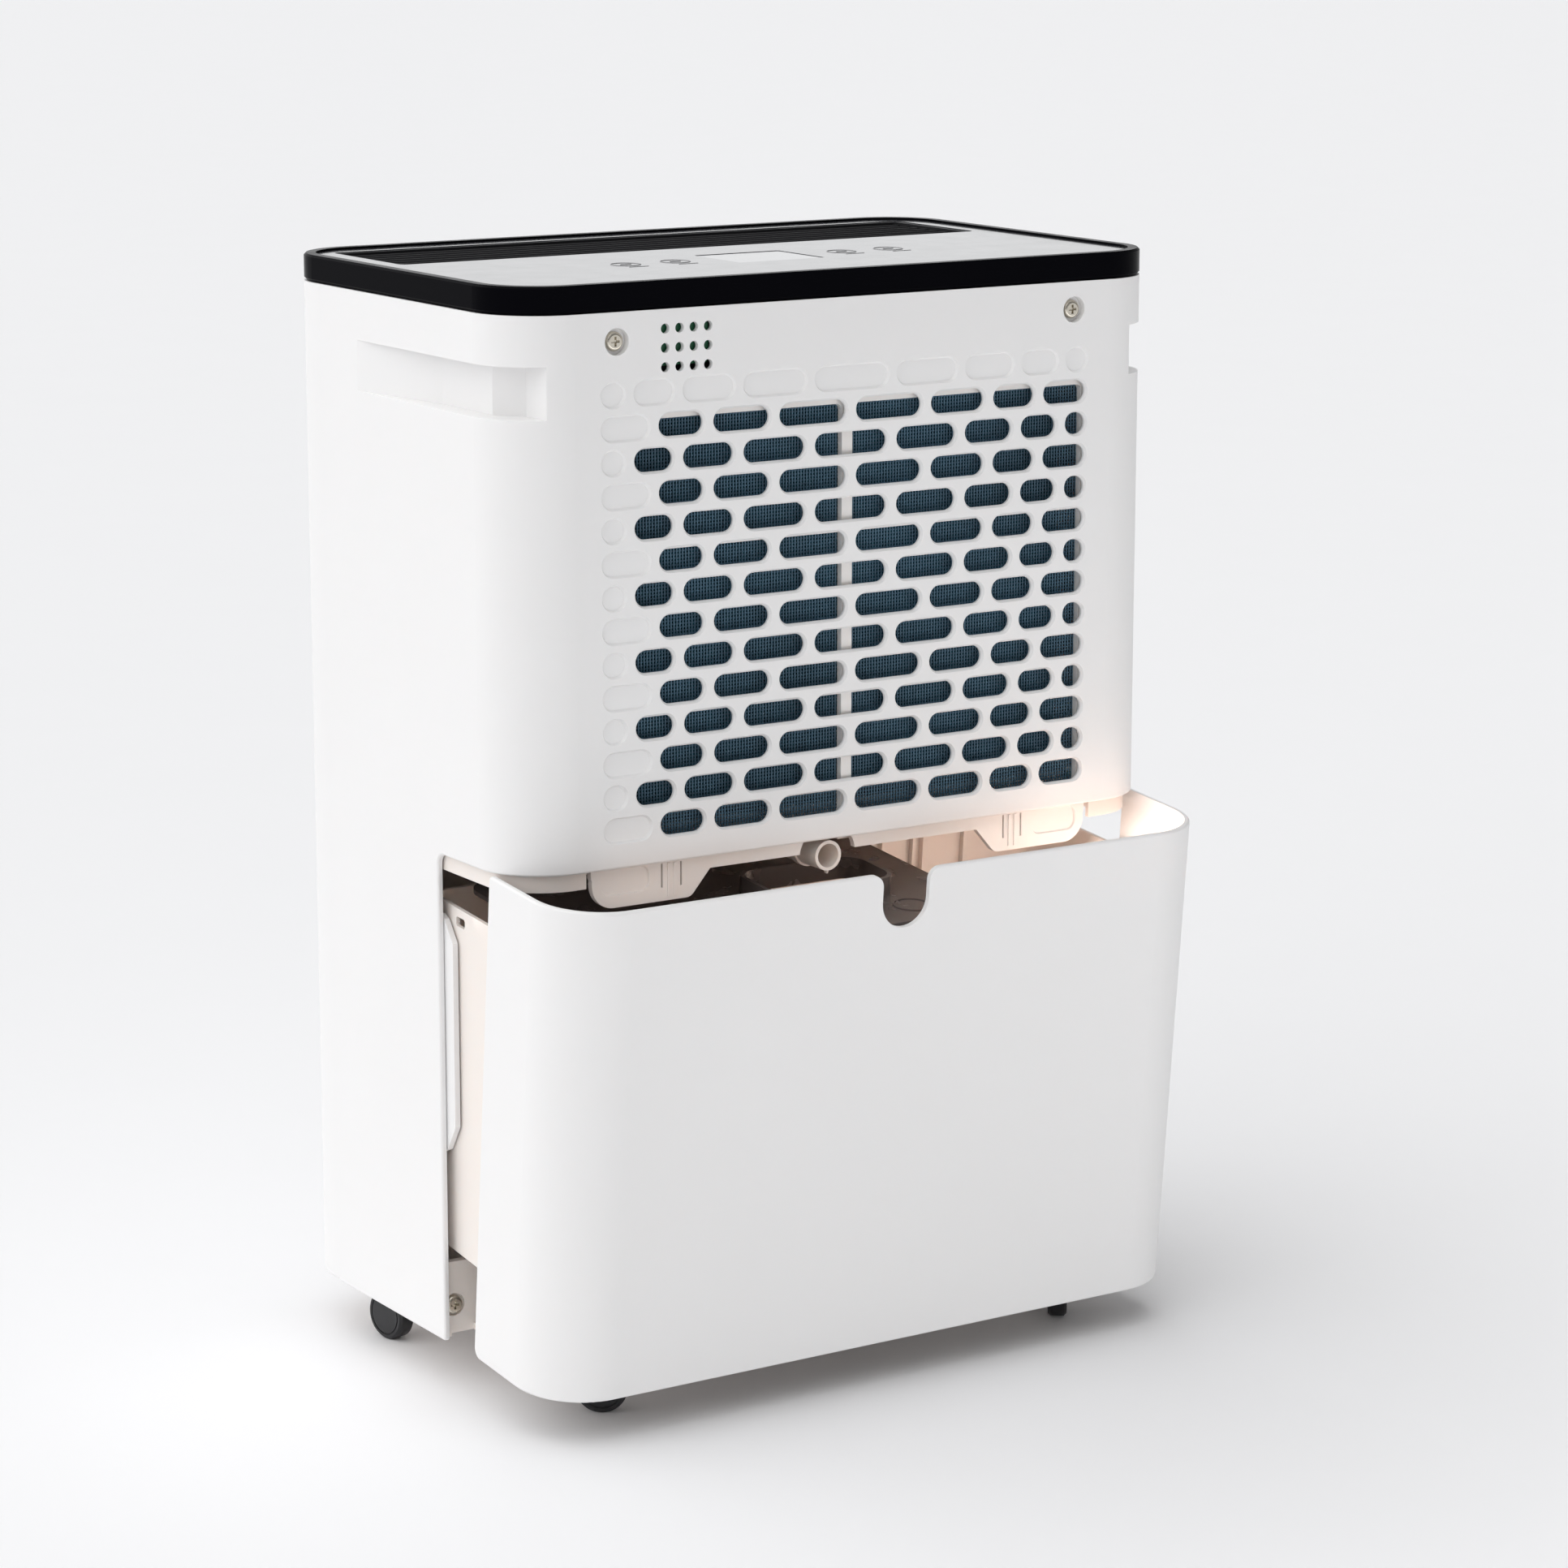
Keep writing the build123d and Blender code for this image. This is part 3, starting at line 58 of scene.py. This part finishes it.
# %% [markdown]
# ## The camera
# A long lens a little over two metres away, above and to the left of the back. It could be aimed with a
# Track To constraint, but the exact angles are known, so the rotation is given outright: the lens looks
# down by the pitch, and the yaw turns it round the machine.

# %% Place the camera
LENS = 104.66
CAMERA_PLACE = (1.1200, 1.7701, 0.7107)
YAW = 32.74
PITCH = 12.05
ROLL = 0.036
camera_data = bpy.data.cameras.new("camera")
camera = bpy.data.objects.new("camera", camera_data)
bpy.context.scene.collection.objects.link(camera)
camera_data.lens = LENS
camera_data.sensor_width = 36.0
camera_data.clip_start = 0.05
camera_data.clip_end = 200.0
camera.location = CAMERA_PLACE
aim = Matrix.Rotation(math.radians(180 - YAW), 4, "Z") @ Matrix.Rotation(math.radians(90 - PITCH), 4, "X")
camera.rotation_euler = (aim @ Matrix.Rotation(math.radians(ROLL), 4, "Z")).to_euler()
bpy.context.scene.camera = camera
print("camera is", round(camera.location.length, 3), "m from the middle of the floor")

# %% [markdown]
# ## Light and floor
# The studio is a white sweep. A soft white sky gives the fill, and it is brighter low down on the far side,
# where the glossy panel mirrors it. One very broad sun from above and the left gives the brighter side wall
# and the faint shadow on the right. A sun has no falloff, so the floor stays evenly pale as far as it
# reaches. A weak panel of light close to the floor behind the machine lifts the tank, as a white card
# would. The thin white walls let some light through, which comes out warm inside, and three tiny warm lamps
# stand in for it.

# %% The sky
SKY = 0.28
FAR_SKY = 0.98
FAR_SKY_FROM = 0.55
FAR_SKY_FULL = 0.80
SKY_COLOUR = (0.985, 0.99, 1.0, 1)
world = bpy.data.worlds.new("studio")
bpy.context.scene.world = world
world.use_nodes = True
sky_tree = world.node_tree
sky_tree.nodes["Background"].inputs["Color"].default_value = SKY_COLOUR
sky_direction = sky_tree.nodes.new("ShaderNodeTexCoord")
sky_axes = sky_tree.nodes.new("ShaderNodeSeparateXYZ")
far_side = sky_tree.nodes.new("ShaderNodeMapRange")
far_side.inputs["From Min"].default_value = FAR_SKY_FROM
far_side.inputs["From Max"].default_value = FAR_SKY_FULL
far_side.inputs["To Min"].default_value = SKY
far_side.inputs["To Max"].default_value = FAR_SKY
flip = sky_tree.nodes.new("ShaderNodeMath")
flip.operation = "MULTIPLY"
flip.inputs[1].default_value = -1.0
sky_tree.links.new(sky_direction.outputs["Generated"], sky_axes.inputs["Vector"])
sky_tree.links.new(sky_axes.outputs["Y"], flip.inputs[0])
sky_tree.links.new(flip.outputs["Value"], far_side.inputs["Value"])
sky_tree.links.new(far_side.outputs["Result"], sky_tree.nodes["Background"].inputs["Strength"])
bpy.context.scene.view_settings.view_transform = "Standard"
bpy.context.scene.view_settings.look = "None"
print("sky strength", SKY, "and", FAR_SKY, "on the far side")


# %% The sun and the white card
def hang_lamp(lamp, place, shines_from):
    """Puts a lamp in the scene; its light comes from the given direction."""
    holder = bpy.data.objects.new(lamp.name, lamp)
    bpy.context.scene.collection.objects.link(holder)
    holder.location = place
    holder.rotation_euler = Vector(shines_from).to_track_quat("Z", "Y").to_euler()
    return holder


def panel_lamp(name, width, height, power):
    """A rectangular area lamp."""
    lamp = bpy.data.lights.new(name, "AREA")
    lamp.shape = "RECTANGLE"
    lamp.size = width
    lamp.size_y = height
    lamp.energy = power
    return lamp


SUN_FROM = (0.43, -0.06, 0.62)
SUN_STRENGTH = 2.27
SUN_SPREAD = 100
CARD_WIDTH = 1.2
CARD_HEIGHT = 0.16
CARD_POWER = 1.0
CARD_PLACE = (-0.25, 0.80, 0.085)
CARD_FROM = (-0.25, 0.85, 0.0)
sun = bpy.data.lights.new("key", "SUN")
sun.energy = SUN_STRENGTH
sun.angle = math.radians(SUN_SPREAD)
hang_lamp(sun, (0, 0, 0), SUN_FROM)
hang_lamp(panel_lamp("card", CARD_WIDTH, CARD_HEIGHT, CARD_POWER), CARD_PLACE, CARD_FROM)
print("sun strength", SUN_STRENGTH, "and a card of", CARD_POWER, "W")

# %% Warm lamps inside the thin walls
GLOW_COLOUR = (1.0, 0.82, 0.72)
GLOW_SPREAD = 95
# Each lamp: its place, its width and height, its power, and the direction its light comes from.
GLOW = {
    "glow_in_bucket": ((-0.110, 0.045, 0.200), (0.06, 0.03), 0.075, (0.6, -1, -0.1)),
    "glow_at_tabs": ((0, 0.118, 0.236), (0.27, 0.008), 0.0085, (0, 1, -0.3)),
    "glow_in_bay": ((0.1705, 0.033, 0.235), (0.002, 0.016), 0.0006, (-0.2, -1, 0.2)),
}
for name, (place, size, power, shines_from) in GLOW.items():
    glow = panel_lamp(name, *size, power)
    glow.color = GLOW_COLOUR
    glow.spread = math.radians(GLOW_SPREAD)
    hang_lamp(glow, place, shines_from).visible_camera = False
print("warm lamps:", sorted(GLOW))

# %% The floor
FLOOR_SIZE = 80
bpy.ops.object.select_all(action="DESELECT")
bpy.ops.mesh.primitive_plane_add(size=FLOOR_SIZE, location=(0, 0, 0))
floor = bpy.context.object
floor.name = "floor"
print("floor of", FLOOR_SIZE, "m")

# %% [markdown]
# ## Finishes
# Nearly every part is moulded plastic. A moulding is never one flat colour: it has a fine spark-eroded
# grain, slow changes of tone where the plastic flowed, and a sheen that varies a little. One helper lays
# those three over a base colour, in Object coordinates, so the grain has its real size on every part.

# %% A helper for plain finishes
def new_finish(name):
    """An empty node material with its Principled shader."""
    made = bpy.data.materials.new(name)
    made.use_nodes = True
    shader = made.node_tree.nodes["Principled BSDF"]
    return made, made.node_tree, shader


def noise(tree, scale, detail=3.0, stretch=(1, 1, 1)):
    """A noise pattern in Object coordinates; scale is in features per metre."""
    place = tree.nodes.new("ShaderNodeTexCoord")
    mapping = tree.nodes.new("ShaderNodeMapping")
    mapping.inputs["Scale"].default_value = stretch
    pattern = tree.nodes.new("ShaderNodeTexNoise")
    pattern.inputs["Scale"].default_value = scale
    pattern.inputs["Detail"].default_value = detail
    tree.links.new(place.outputs["Object"], mapping.inputs["Vector"])
    tree.links.new(mapping.outputs["Vector"], pattern.inputs["Vector"])
    return pattern.outputs["Fac"]


def spread(tree, value, low, high):
    """The pattern's middle range, laid out between two numbers."""
    ramp = tree.nodes.new("ShaderNodeMapRange")
    ramp.inputs["From Min"].default_value = 0.3
    ramp.inputs["From Max"].default_value = 0.7
    ramp.inputs["To Min"].default_value = low
    ramp.inputs["To Max"].default_value = high
    tree.links.new(value, ramp.inputs["Value"])
    return ramp.outputs["Result"]


def tone(tree, value, dark, light):
    """A colour between two, by a pattern."""
    mix = tree.nodes.new("ShaderNodeMix")
    mix.data_type = "RGBA"
    mix.inputs["A"].default_value = (*dark, 1)
    mix.inputs["B"].default_value = (*light, 1)
    tree.links.new(value, mix.inputs["Factor"])
    return mix.outputs["Result"]


def bump(tree, shader, height, distance, strength=1.0):
    """Relief from a pattern, on top of any relief the shader has already."""
    node = tree.nodes.new("ShaderNodeBump")
    node.inputs["Strength"].default_value = strength
    node.inputs["Distance"].default_value = distance
    tree.links.new(height, node.inputs["Height"])
    before = shader.inputs["Normal"].links
    if before:
        tree.links.new(before[0].from_socket, node.inputs["Normal"])
    tree.links.new(node.outputs["Normal"], shader.inputs["Normal"])


def plain_finish(name, colour, rough, grain, relief, vary=0.03, stretch=(1, 1, 1), **fixed):
    """A finish with tone drift, uneven sheen and a fine grain; grain is in features per metre."""
    made, tree, shader = new_finish(name)
    drift = spread(tree, noise(tree, 9, stretch=stretch), 0, 1)
    dark = [c * (1 - vary) for c in colour]
    light = [min(1.0, c * (1 + vary)) for c in colour]
    tree.links.new(tone(tree, drift, dark, light), shader.inputs["Base Color"])
    sheen = spread(tree, noise(tree, 70, stretch=stretch), rough * 0.88, rough * 1.12)
    tree.links.new(sheen, shader.inputs["Roughness"])
    bump(tree, shader, noise(tree, grain, detail=2, stretch=stretch), relief)
    for socket, value in fixed.items():
        shader.inputs[socket.replace("_", " ")].default_value = value
    made.diffuse_color = (*colour, 1)
    return made


print("a plain finish has tone drift, uneven sheen and a fine grain")

# %% [markdown]
# ## The plastics
# The shell is white ABS with a very fine satin grain. The parts inside the bay are a warmer white, and
# light that bounces about between them comes out brown, so their colour is stronger than it looks on a lit
# face. The band and the panel on top are glossy and almost black.

# %% Plastics
finishes = {}
finishes["white_shell"] = plain_finish(
    "white_shell", (0.885, 0.878, 0.875), 0.46, 2600, 0.000012, vary=0.006,
    Subsurface_Weight=0.15, Subsurface_Radius=(1.0, 0.9, 0.85), Subsurface_Scale=0.0015)
finishes["cream_plastic"] = plain_finish(
    "cream_plastic", (0.92, 0.85, 0.80), 0.42, 2200, 0.000015, vary=0.012,
    Subsurface_Weight=0.3, Subsurface_Radius=(1.0, 0.80, 0.70), Subsurface_Scale=0.002)
finishes["filter_white"] = plain_finish(
    "filter_white", (0.92, 0.88, 0.85), 0.40, 2000, 0.000015, vary=0.012,
    Subsurface_Weight=0.3, Subsurface_Radius=(1.0, 0.85, 0.75), Subsurface_Scale=0.002)
finishes["black_gloss"] = plain_finish(
    "black_gloss", (0.0022, 0.0022, 0.0034), 0.24, 900, 0.000003, vary=0.1, Specular_IOR_Level=0.015)
finishes["black_matte"] = plain_finish(
    "black_matte", (0.010, 0.010, 0.012), 0.45, 1800, 0.00002, vary=0.1, Specular_IOR_Level=0.3)
finishes["grey_plastic"] = plain_finish(
    "grey_plastic", (0.42, 0.43, 0.44), 0.5, 1500, 0.00003)
finishes["caster_black"] = plain_finish(
    "caster_black", (0.013, 0.013, 0.015), 0.42, 1600, 0.00002, vary=0.12)
finishes["rubber"] = plain_finish("rubber", (0.02, 0.02, 0.02), 0.75, 1400, 0.00004, vary=0.12)
finishes["foam_white"] = plain_finish("foam_white", (0.8, 0.8, 0.78), 0.85, 700, 0.0002, vary=0.03)
finishes["board_green"] = plain_finish("board_green", (0.02, 0.13, 0.06), 0.35, 500, 0.00004, vary=0.15)
print("plastics:", sorted(finishes))

# %% [markdown]
# ## Metals
# Bare metal carries marks from how it was made. Drawn tube and turned shafts are streaked along one way, so
# their noise is stretched, and plated screws are brighter with a fine random haze.

# %% Metals
finishes["copper"] = plain_finish(
    "copper", (0.72, 0.36, 0.22), 0.28, 600, 0.00001, vary=0.12, stretch=(1, 1, 0.1), Metallic=1.0)
finishes["steel"] = plain_finish(
    "steel", (0.60, 0.60, 0.61), 0.26, 1500, 0.00001, vary=0.06, stretch=(0.1, 1, 1), Metallic=1.0)
finishes["motor_steel"] = plain_finish(
    "motor_steel", (0.50, 0.51, 0.53), 0.38, 800, 0.00002, vary=0.08, stretch=(1, 0.1, 1), Metallic=1.0)
finishes["screw_steel"] = plain_finish(
    "screw_steel", (0.62, 0.58, 0.50), 0.24, 2500, 0.00001, vary=0.08, Metallic=1.0)
finishes["black_steel"] = plain_finish(
    "black_steel", (0.012, 0.012, 0.013), 0.33, 300, 0.00004, vary=0.1)
finishes["coil_metal"] = plain_finish(
    "coil_metal", (0.66, 0.67, 0.69), 0.35, 900, 0.00002, vary=0.08, Metallic=1.0)
finishes["blue_fins"] = plain_finish(
    "blue_fins", (0.006, 0.15, 0.19), 0.40, 900, 0.00002, vary=0.25, Metallic=0.35)
print("finishes so far:", len(finishes))

# %% [markdown]
# ## Panel, window and lid
# The control panel is a gloss sheet printed near-black from below. Seen almost edge-on it mirrors the white
# room. The display window is the same sheet with a smoked patch. The tank's lid is smoke-grey, and lets a
# little light through.

# %% Panel, window and lid
finishes["panel_gloss"] = plain_finish(
    "panel_gloss", (0.035, 0.036, 0.042), 0.16, 700, 0.000002, vary=0.08,
    Coat_Weight=0.6, Coat_Roughness=0.05)
finishes["display"] = plain_finish(
    "display", (0.16, 0.165, 0.175), 0.12, 700, 0.000002, vary=0.06,
    Coat_Weight=0.8, Coat_Roughness=0.04)
finishes["smoke_plastic"] = plain_finish(
    "smoke_plastic", (0.150, 0.125, 0.118), 0.26, 1500, 0.00001, vary=0.05,
    Transmission_Weight=0.30, IOR=1.49)
finishes["mesh_blue"] = plain_finish(
    "net_thread", (0.080, 0.165, 0.235), 0.45, 4000, 0.00003, vary=0.25)
finishes["floor_sweep"] = plain_finish("floor_sweep", (0.93, 0.93, 0.94), 0.9, 60, 0.00002, vary=0.002)
floor.data.materials.append(finishes["floor_sweep"])
print("finishes in all:", len(finishes))

# %% [markdown]
# ## Dress the CAD parts
# Each CAD part already has one material slot, named in its record. The part stays as it is, and only the
# material in that slot is changed.

# %% Dress the CAD parts
for name, node in frame["nodes"].items():
    for index in range(len(node.data.materials)):
        node.data.materials[index] = finishes[node_slots[name]]
print("dressed", len(frame["nodes"]), "parts")

# %% [markdown]
# ## Helpers for pieces made by hand
# A new piece is built from a primitive with Blender's own operators. When it is done its place is applied,
# so that its object sits at the origin and its shape is all in its mesh, as the CAD parts are.

# %% Helpers
def start(kind, name, **facts):
    """Adds a primitive and returns it, with everything else deselected."""
    bpy.ops.object.select_all(action="DESELECT")
    getattr(bpy.ops.mesh, "primitive_" + kind + "_add")(**facts)
    piece = bpy.context.object
    piece.name = name
    piece.data.name = name
    return piece


def only(piece):
    """Selects one object and makes it active."""
    bpy.ops.object.select_all(action="DESELECT")
    piece.select_set(True)
    bpy.context.view_layer.objects.active = piece


def settle(piece):
    """Applies a piece's place, turn and size to its mesh."""
    only(piece)
    bpy.ops.object.transform_apply(location=True, rotation=True, scale=True)
    return piece


def apply_all(piece):
    """Applies every modifier in order."""
    only(piece)
    for modifier in list(piece.modifiers):
        bpy.ops.object.modifier_apply(modifier=modifier.name)
    return piece


def pick_faces(piece, wanted):
    """In edit mode, selects the faces whose centre and normal satisfy wanted."""
    only(piece)
    bpy.ops.object.mode_set(mode="EDIT")
    bpy.ops.mesh.select_mode(type="FACE")
    bpy.ops.mesh.select_all(action="DESELECT")
    shape = bmesh.from_edit_mesh(piece.data)
    for face in shape.faces:
        if wanted(face.calc_center_median(), face.normal):
            face.select = True
    bmesh.update_edit_mesh(piece.data)


def leave_edit():
    """Back to object mode."""
    bpy.ops.object.mode_set(mode="OBJECT")


def join(pieces, name):
    """Makes one object of several."""
    bpy.ops.object.select_all(action="DESELECT")
    for piece in pieces:
        piece.select_set(True)
    bpy.context.view_layer.objects.active = pieces[0]
    if len(pieces) > 1:
        bpy.ops.object.join()
    made = bpy.context.object
    made.name = name
    made.data.name = name
    return made


def repeat(piece, step, count):
    """An applied array of a piece along one step."""
    only(piece)
    array = piece.modifiers.new("repeat", "ARRAY")
    array.use_relative_offset = False
    array.use_constant_offset = True
    array.constant_offset_displace = step
    array.count = count
    return apply_all(piece)


def finish_piece(piece, body, slot, angle=35):
    """Settles, smooths, dresses and hangs a finished piece on its body."""
    settle(piece)
    bpy.ops.object.shade_smooth_by_angle(angle=math.radians(angle))
    piece.data.materials.clear()
    piece.data.materials.append(finishes[slot])
    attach(piece, body)
    print(piece.name, len(piece.data.polygons), "faces on", body)
    return piece


print("the helpers are ready")

# %% [markdown]
# ## The filter's net
# The net is woven nylon with square holes about 0.8 mm wide. A picture of a weave on a flat sheet would
# show no depth when seen from the side, so real threads are laid: one upright thread and one lying thread
# are made as six-sided rods, and each is repeated across the frame. The two layers are pressed into each
# other a little, which is simpler than bending each thread over and under.

# %% Weave the net
THREAD_PITCH = 0.00155
THREAD_RADIUS = 0.00036
LAYER_SHIFT = THREAD_RADIUS * 0.8
low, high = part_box("filter_mesh")
net_middle = (low + high) / 2
net_width = high.x - low.x
net_height = high.z - low.z


def thread(name, length, turn, place):
    """One six-sided rod of thread, its ends closed."""
    rod = start("cylinder", name, vertices=6, radius=THREAD_RADIUS, depth=length,
                location=place, rotation=turn)
    return settle(rod)


upright_count = int(net_width / THREAD_PITCH)
lying_count = int(net_height / THREAD_PITCH)
upright = thread("upright_threads", net_height, (0, 0, 0),
                 (low.x + THREAD_RADIUS, net_middle.y + LAYER_SHIFT, net_middle.z))
repeat(upright, (THREAD_PITCH, 0, 0), upright_count)
lying = thread("lying_threads", net_width, (0, math.pi / 2, 0),
               (net_middle.x, net_middle.y - LAYER_SHIFT, low.z + THREAD_RADIUS))
repeat(lying, (0, 0, THREAD_PITCH), lying_count)
net = finish_piece(join([upright, lying], "filter_net"), "filter", "mesh_blue")
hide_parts("filter_mesh")
print("threads:", upright_count, "upright and", lying_count, "lying")

# %% [markdown]
# ## The cold coil
# Behind the net stands the cold coil: thin upright fins with a blue water-shedding coat, which give the net
# its teal glow. One fin is made and repeated at a pitch of under two millimetres. The tubes are straight
# runs through the fins. The bends that would join them at the ends are left out.

# %% Fins and tubes of the cold coil
FIN_PITCH = 0.0019
FIN_THICK = 0.00018
FINS_HALF_WIDTH = 0.130
TUBE_ROWS = 8
TUBE_RADIUS = 0.0035
TUBE_ROUNDING = 0.0008
low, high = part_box("evaporator")
coil_middle = (low + high) / 2
fin = start("cube", "cold_coil_fins", size=1,
            location=(-FINS_HALF_WIDTH, coil_middle.y, coil_middle.z),
            scale=(FIN_THICK, high.y - low.y, high.z - low.z))
settle(fin)
pick_faces(fin, lambda centre, normal: abs(normal.x) > 0.5)
bpy.ops.mesh.subdivide(number_cuts=1)
leave_edit()
repeat(fin, (FIN_PITCH, 0, 0), int(2 * FINS_HALF_WIDTH / FIN_PITCH))
finish_piece(fin, "housing", "blue_fins")
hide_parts("evaporator")
tube_pitch = (high.z - low.z) / TUBE_ROWS
tube = start("cylinder", "cold_coil_tubes", vertices=20, radius=TUBE_RADIUS, depth=high.x - low.x,
             location=(coil_middle.x, coil_middle.y, low.z + tube_pitch / 2), rotation=(0, math.pi / 2, 0))
settle(tube)
pick_faces(tube, lambda centre, normal: abs(normal.x) > 0.9)
bpy.ops.mesh.bevel(offset=TUBE_ROUNDING, segments=2)
leave_edit()
repeat(tube, (0, 0, tube_pitch), TUBE_ROWS)
finish_piece(tube, "housing", "copper")

# %% [markdown]
# ## Touch marks
# The touch keys are only printed marks: two ringed keys each side of the window, with a small generic sign
# in each and a line beside it. They are raised by up to a quarter of a millimetre, so that they show at a
# low angle.

# %% Touch marks on the panel
KEY_PLACES = (-0.071, -0.045, 0.045, 0.071)
RING_RADIUS = 0.0068
PRINT_RADIUS = 0.00022
DASH_SIZE = (0.0056, 0.0007, 0.0003)
LINE_SIZE = (0.010, 0.0006, 0.0002)
LINE_OFFSET = 0.0115
RING_RAISE = 0.00005
DASH_RAISE = 0.00006
LINE_RAISE = 0.00004
panel_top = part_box("control_panel")[1].z
display_low, display_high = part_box("display_window")
mark_y = (display_low.y + display_high.y) / 2
marks = []
for key_x in KEY_PLACES:
    ring = start("torus", "ring", major_radius=RING_RADIUS, minor_radius=PRINT_RADIUS, major_segments=48,
                 minor_segments=6, location=(key_x, mark_y, panel_top + RING_RAISE))
    marks.append(settle(ring))
    dash = start("cube", "dash", size=1, location=(key_x, mark_y, panel_top + DASH_RAISE), scale=DASH_SIZE)
    marks.append(settle(dash))
    line = start("cube", "line", size=1, location=(key_x, mark_y + LINE_OFFSET, panel_top + LINE_RAISE),
                 scale=LINE_SIZE)
    marks.append(settle(line))
finishes["print_grey"] = plain_finish("print_grey", (0.46, 0.46, 0.47), 0.5, 1200, 0.000004)
touch_marks = join(marks, "touch_marks")
settle(touch_marks)
bpy.ops.object.shade_smooth_by_angle(angle=math.radians(40))
touch_marks.data.materials.clear()
touch_marks.data.materials.append(finishes["print_grey"])
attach(touch_marks, "housing")
print("touch marks:", len(KEY_PLACES), "keys")

# %% [markdown]
# ## Drip nib
# A small nib under the spout's mouth makes the water fall straight instead of running back along the tube.

# %% Drip nib
NIB_SIZE = (0.0013, 0.0030, 0.0022)
NIB_SETBACK = 0.0016
NIB_HEIGHT = 0.2386
low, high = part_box("drain_spout")
nib = start("cube", "drip_nib", size=1, location=((low.x + high.x) / 2, high.y - NIB_SETBACK, NIB_HEIGHT),
            scale=NIB_SIZE)
settle(nib)
pick_faces(nib, lambda centre, normal: normal.z < -0.5)
bpy.ops.transform.resize(value=(0.5, 0.6, 1))
leave_edit()
finish_piece(nib, "housing", "cream_plastic")
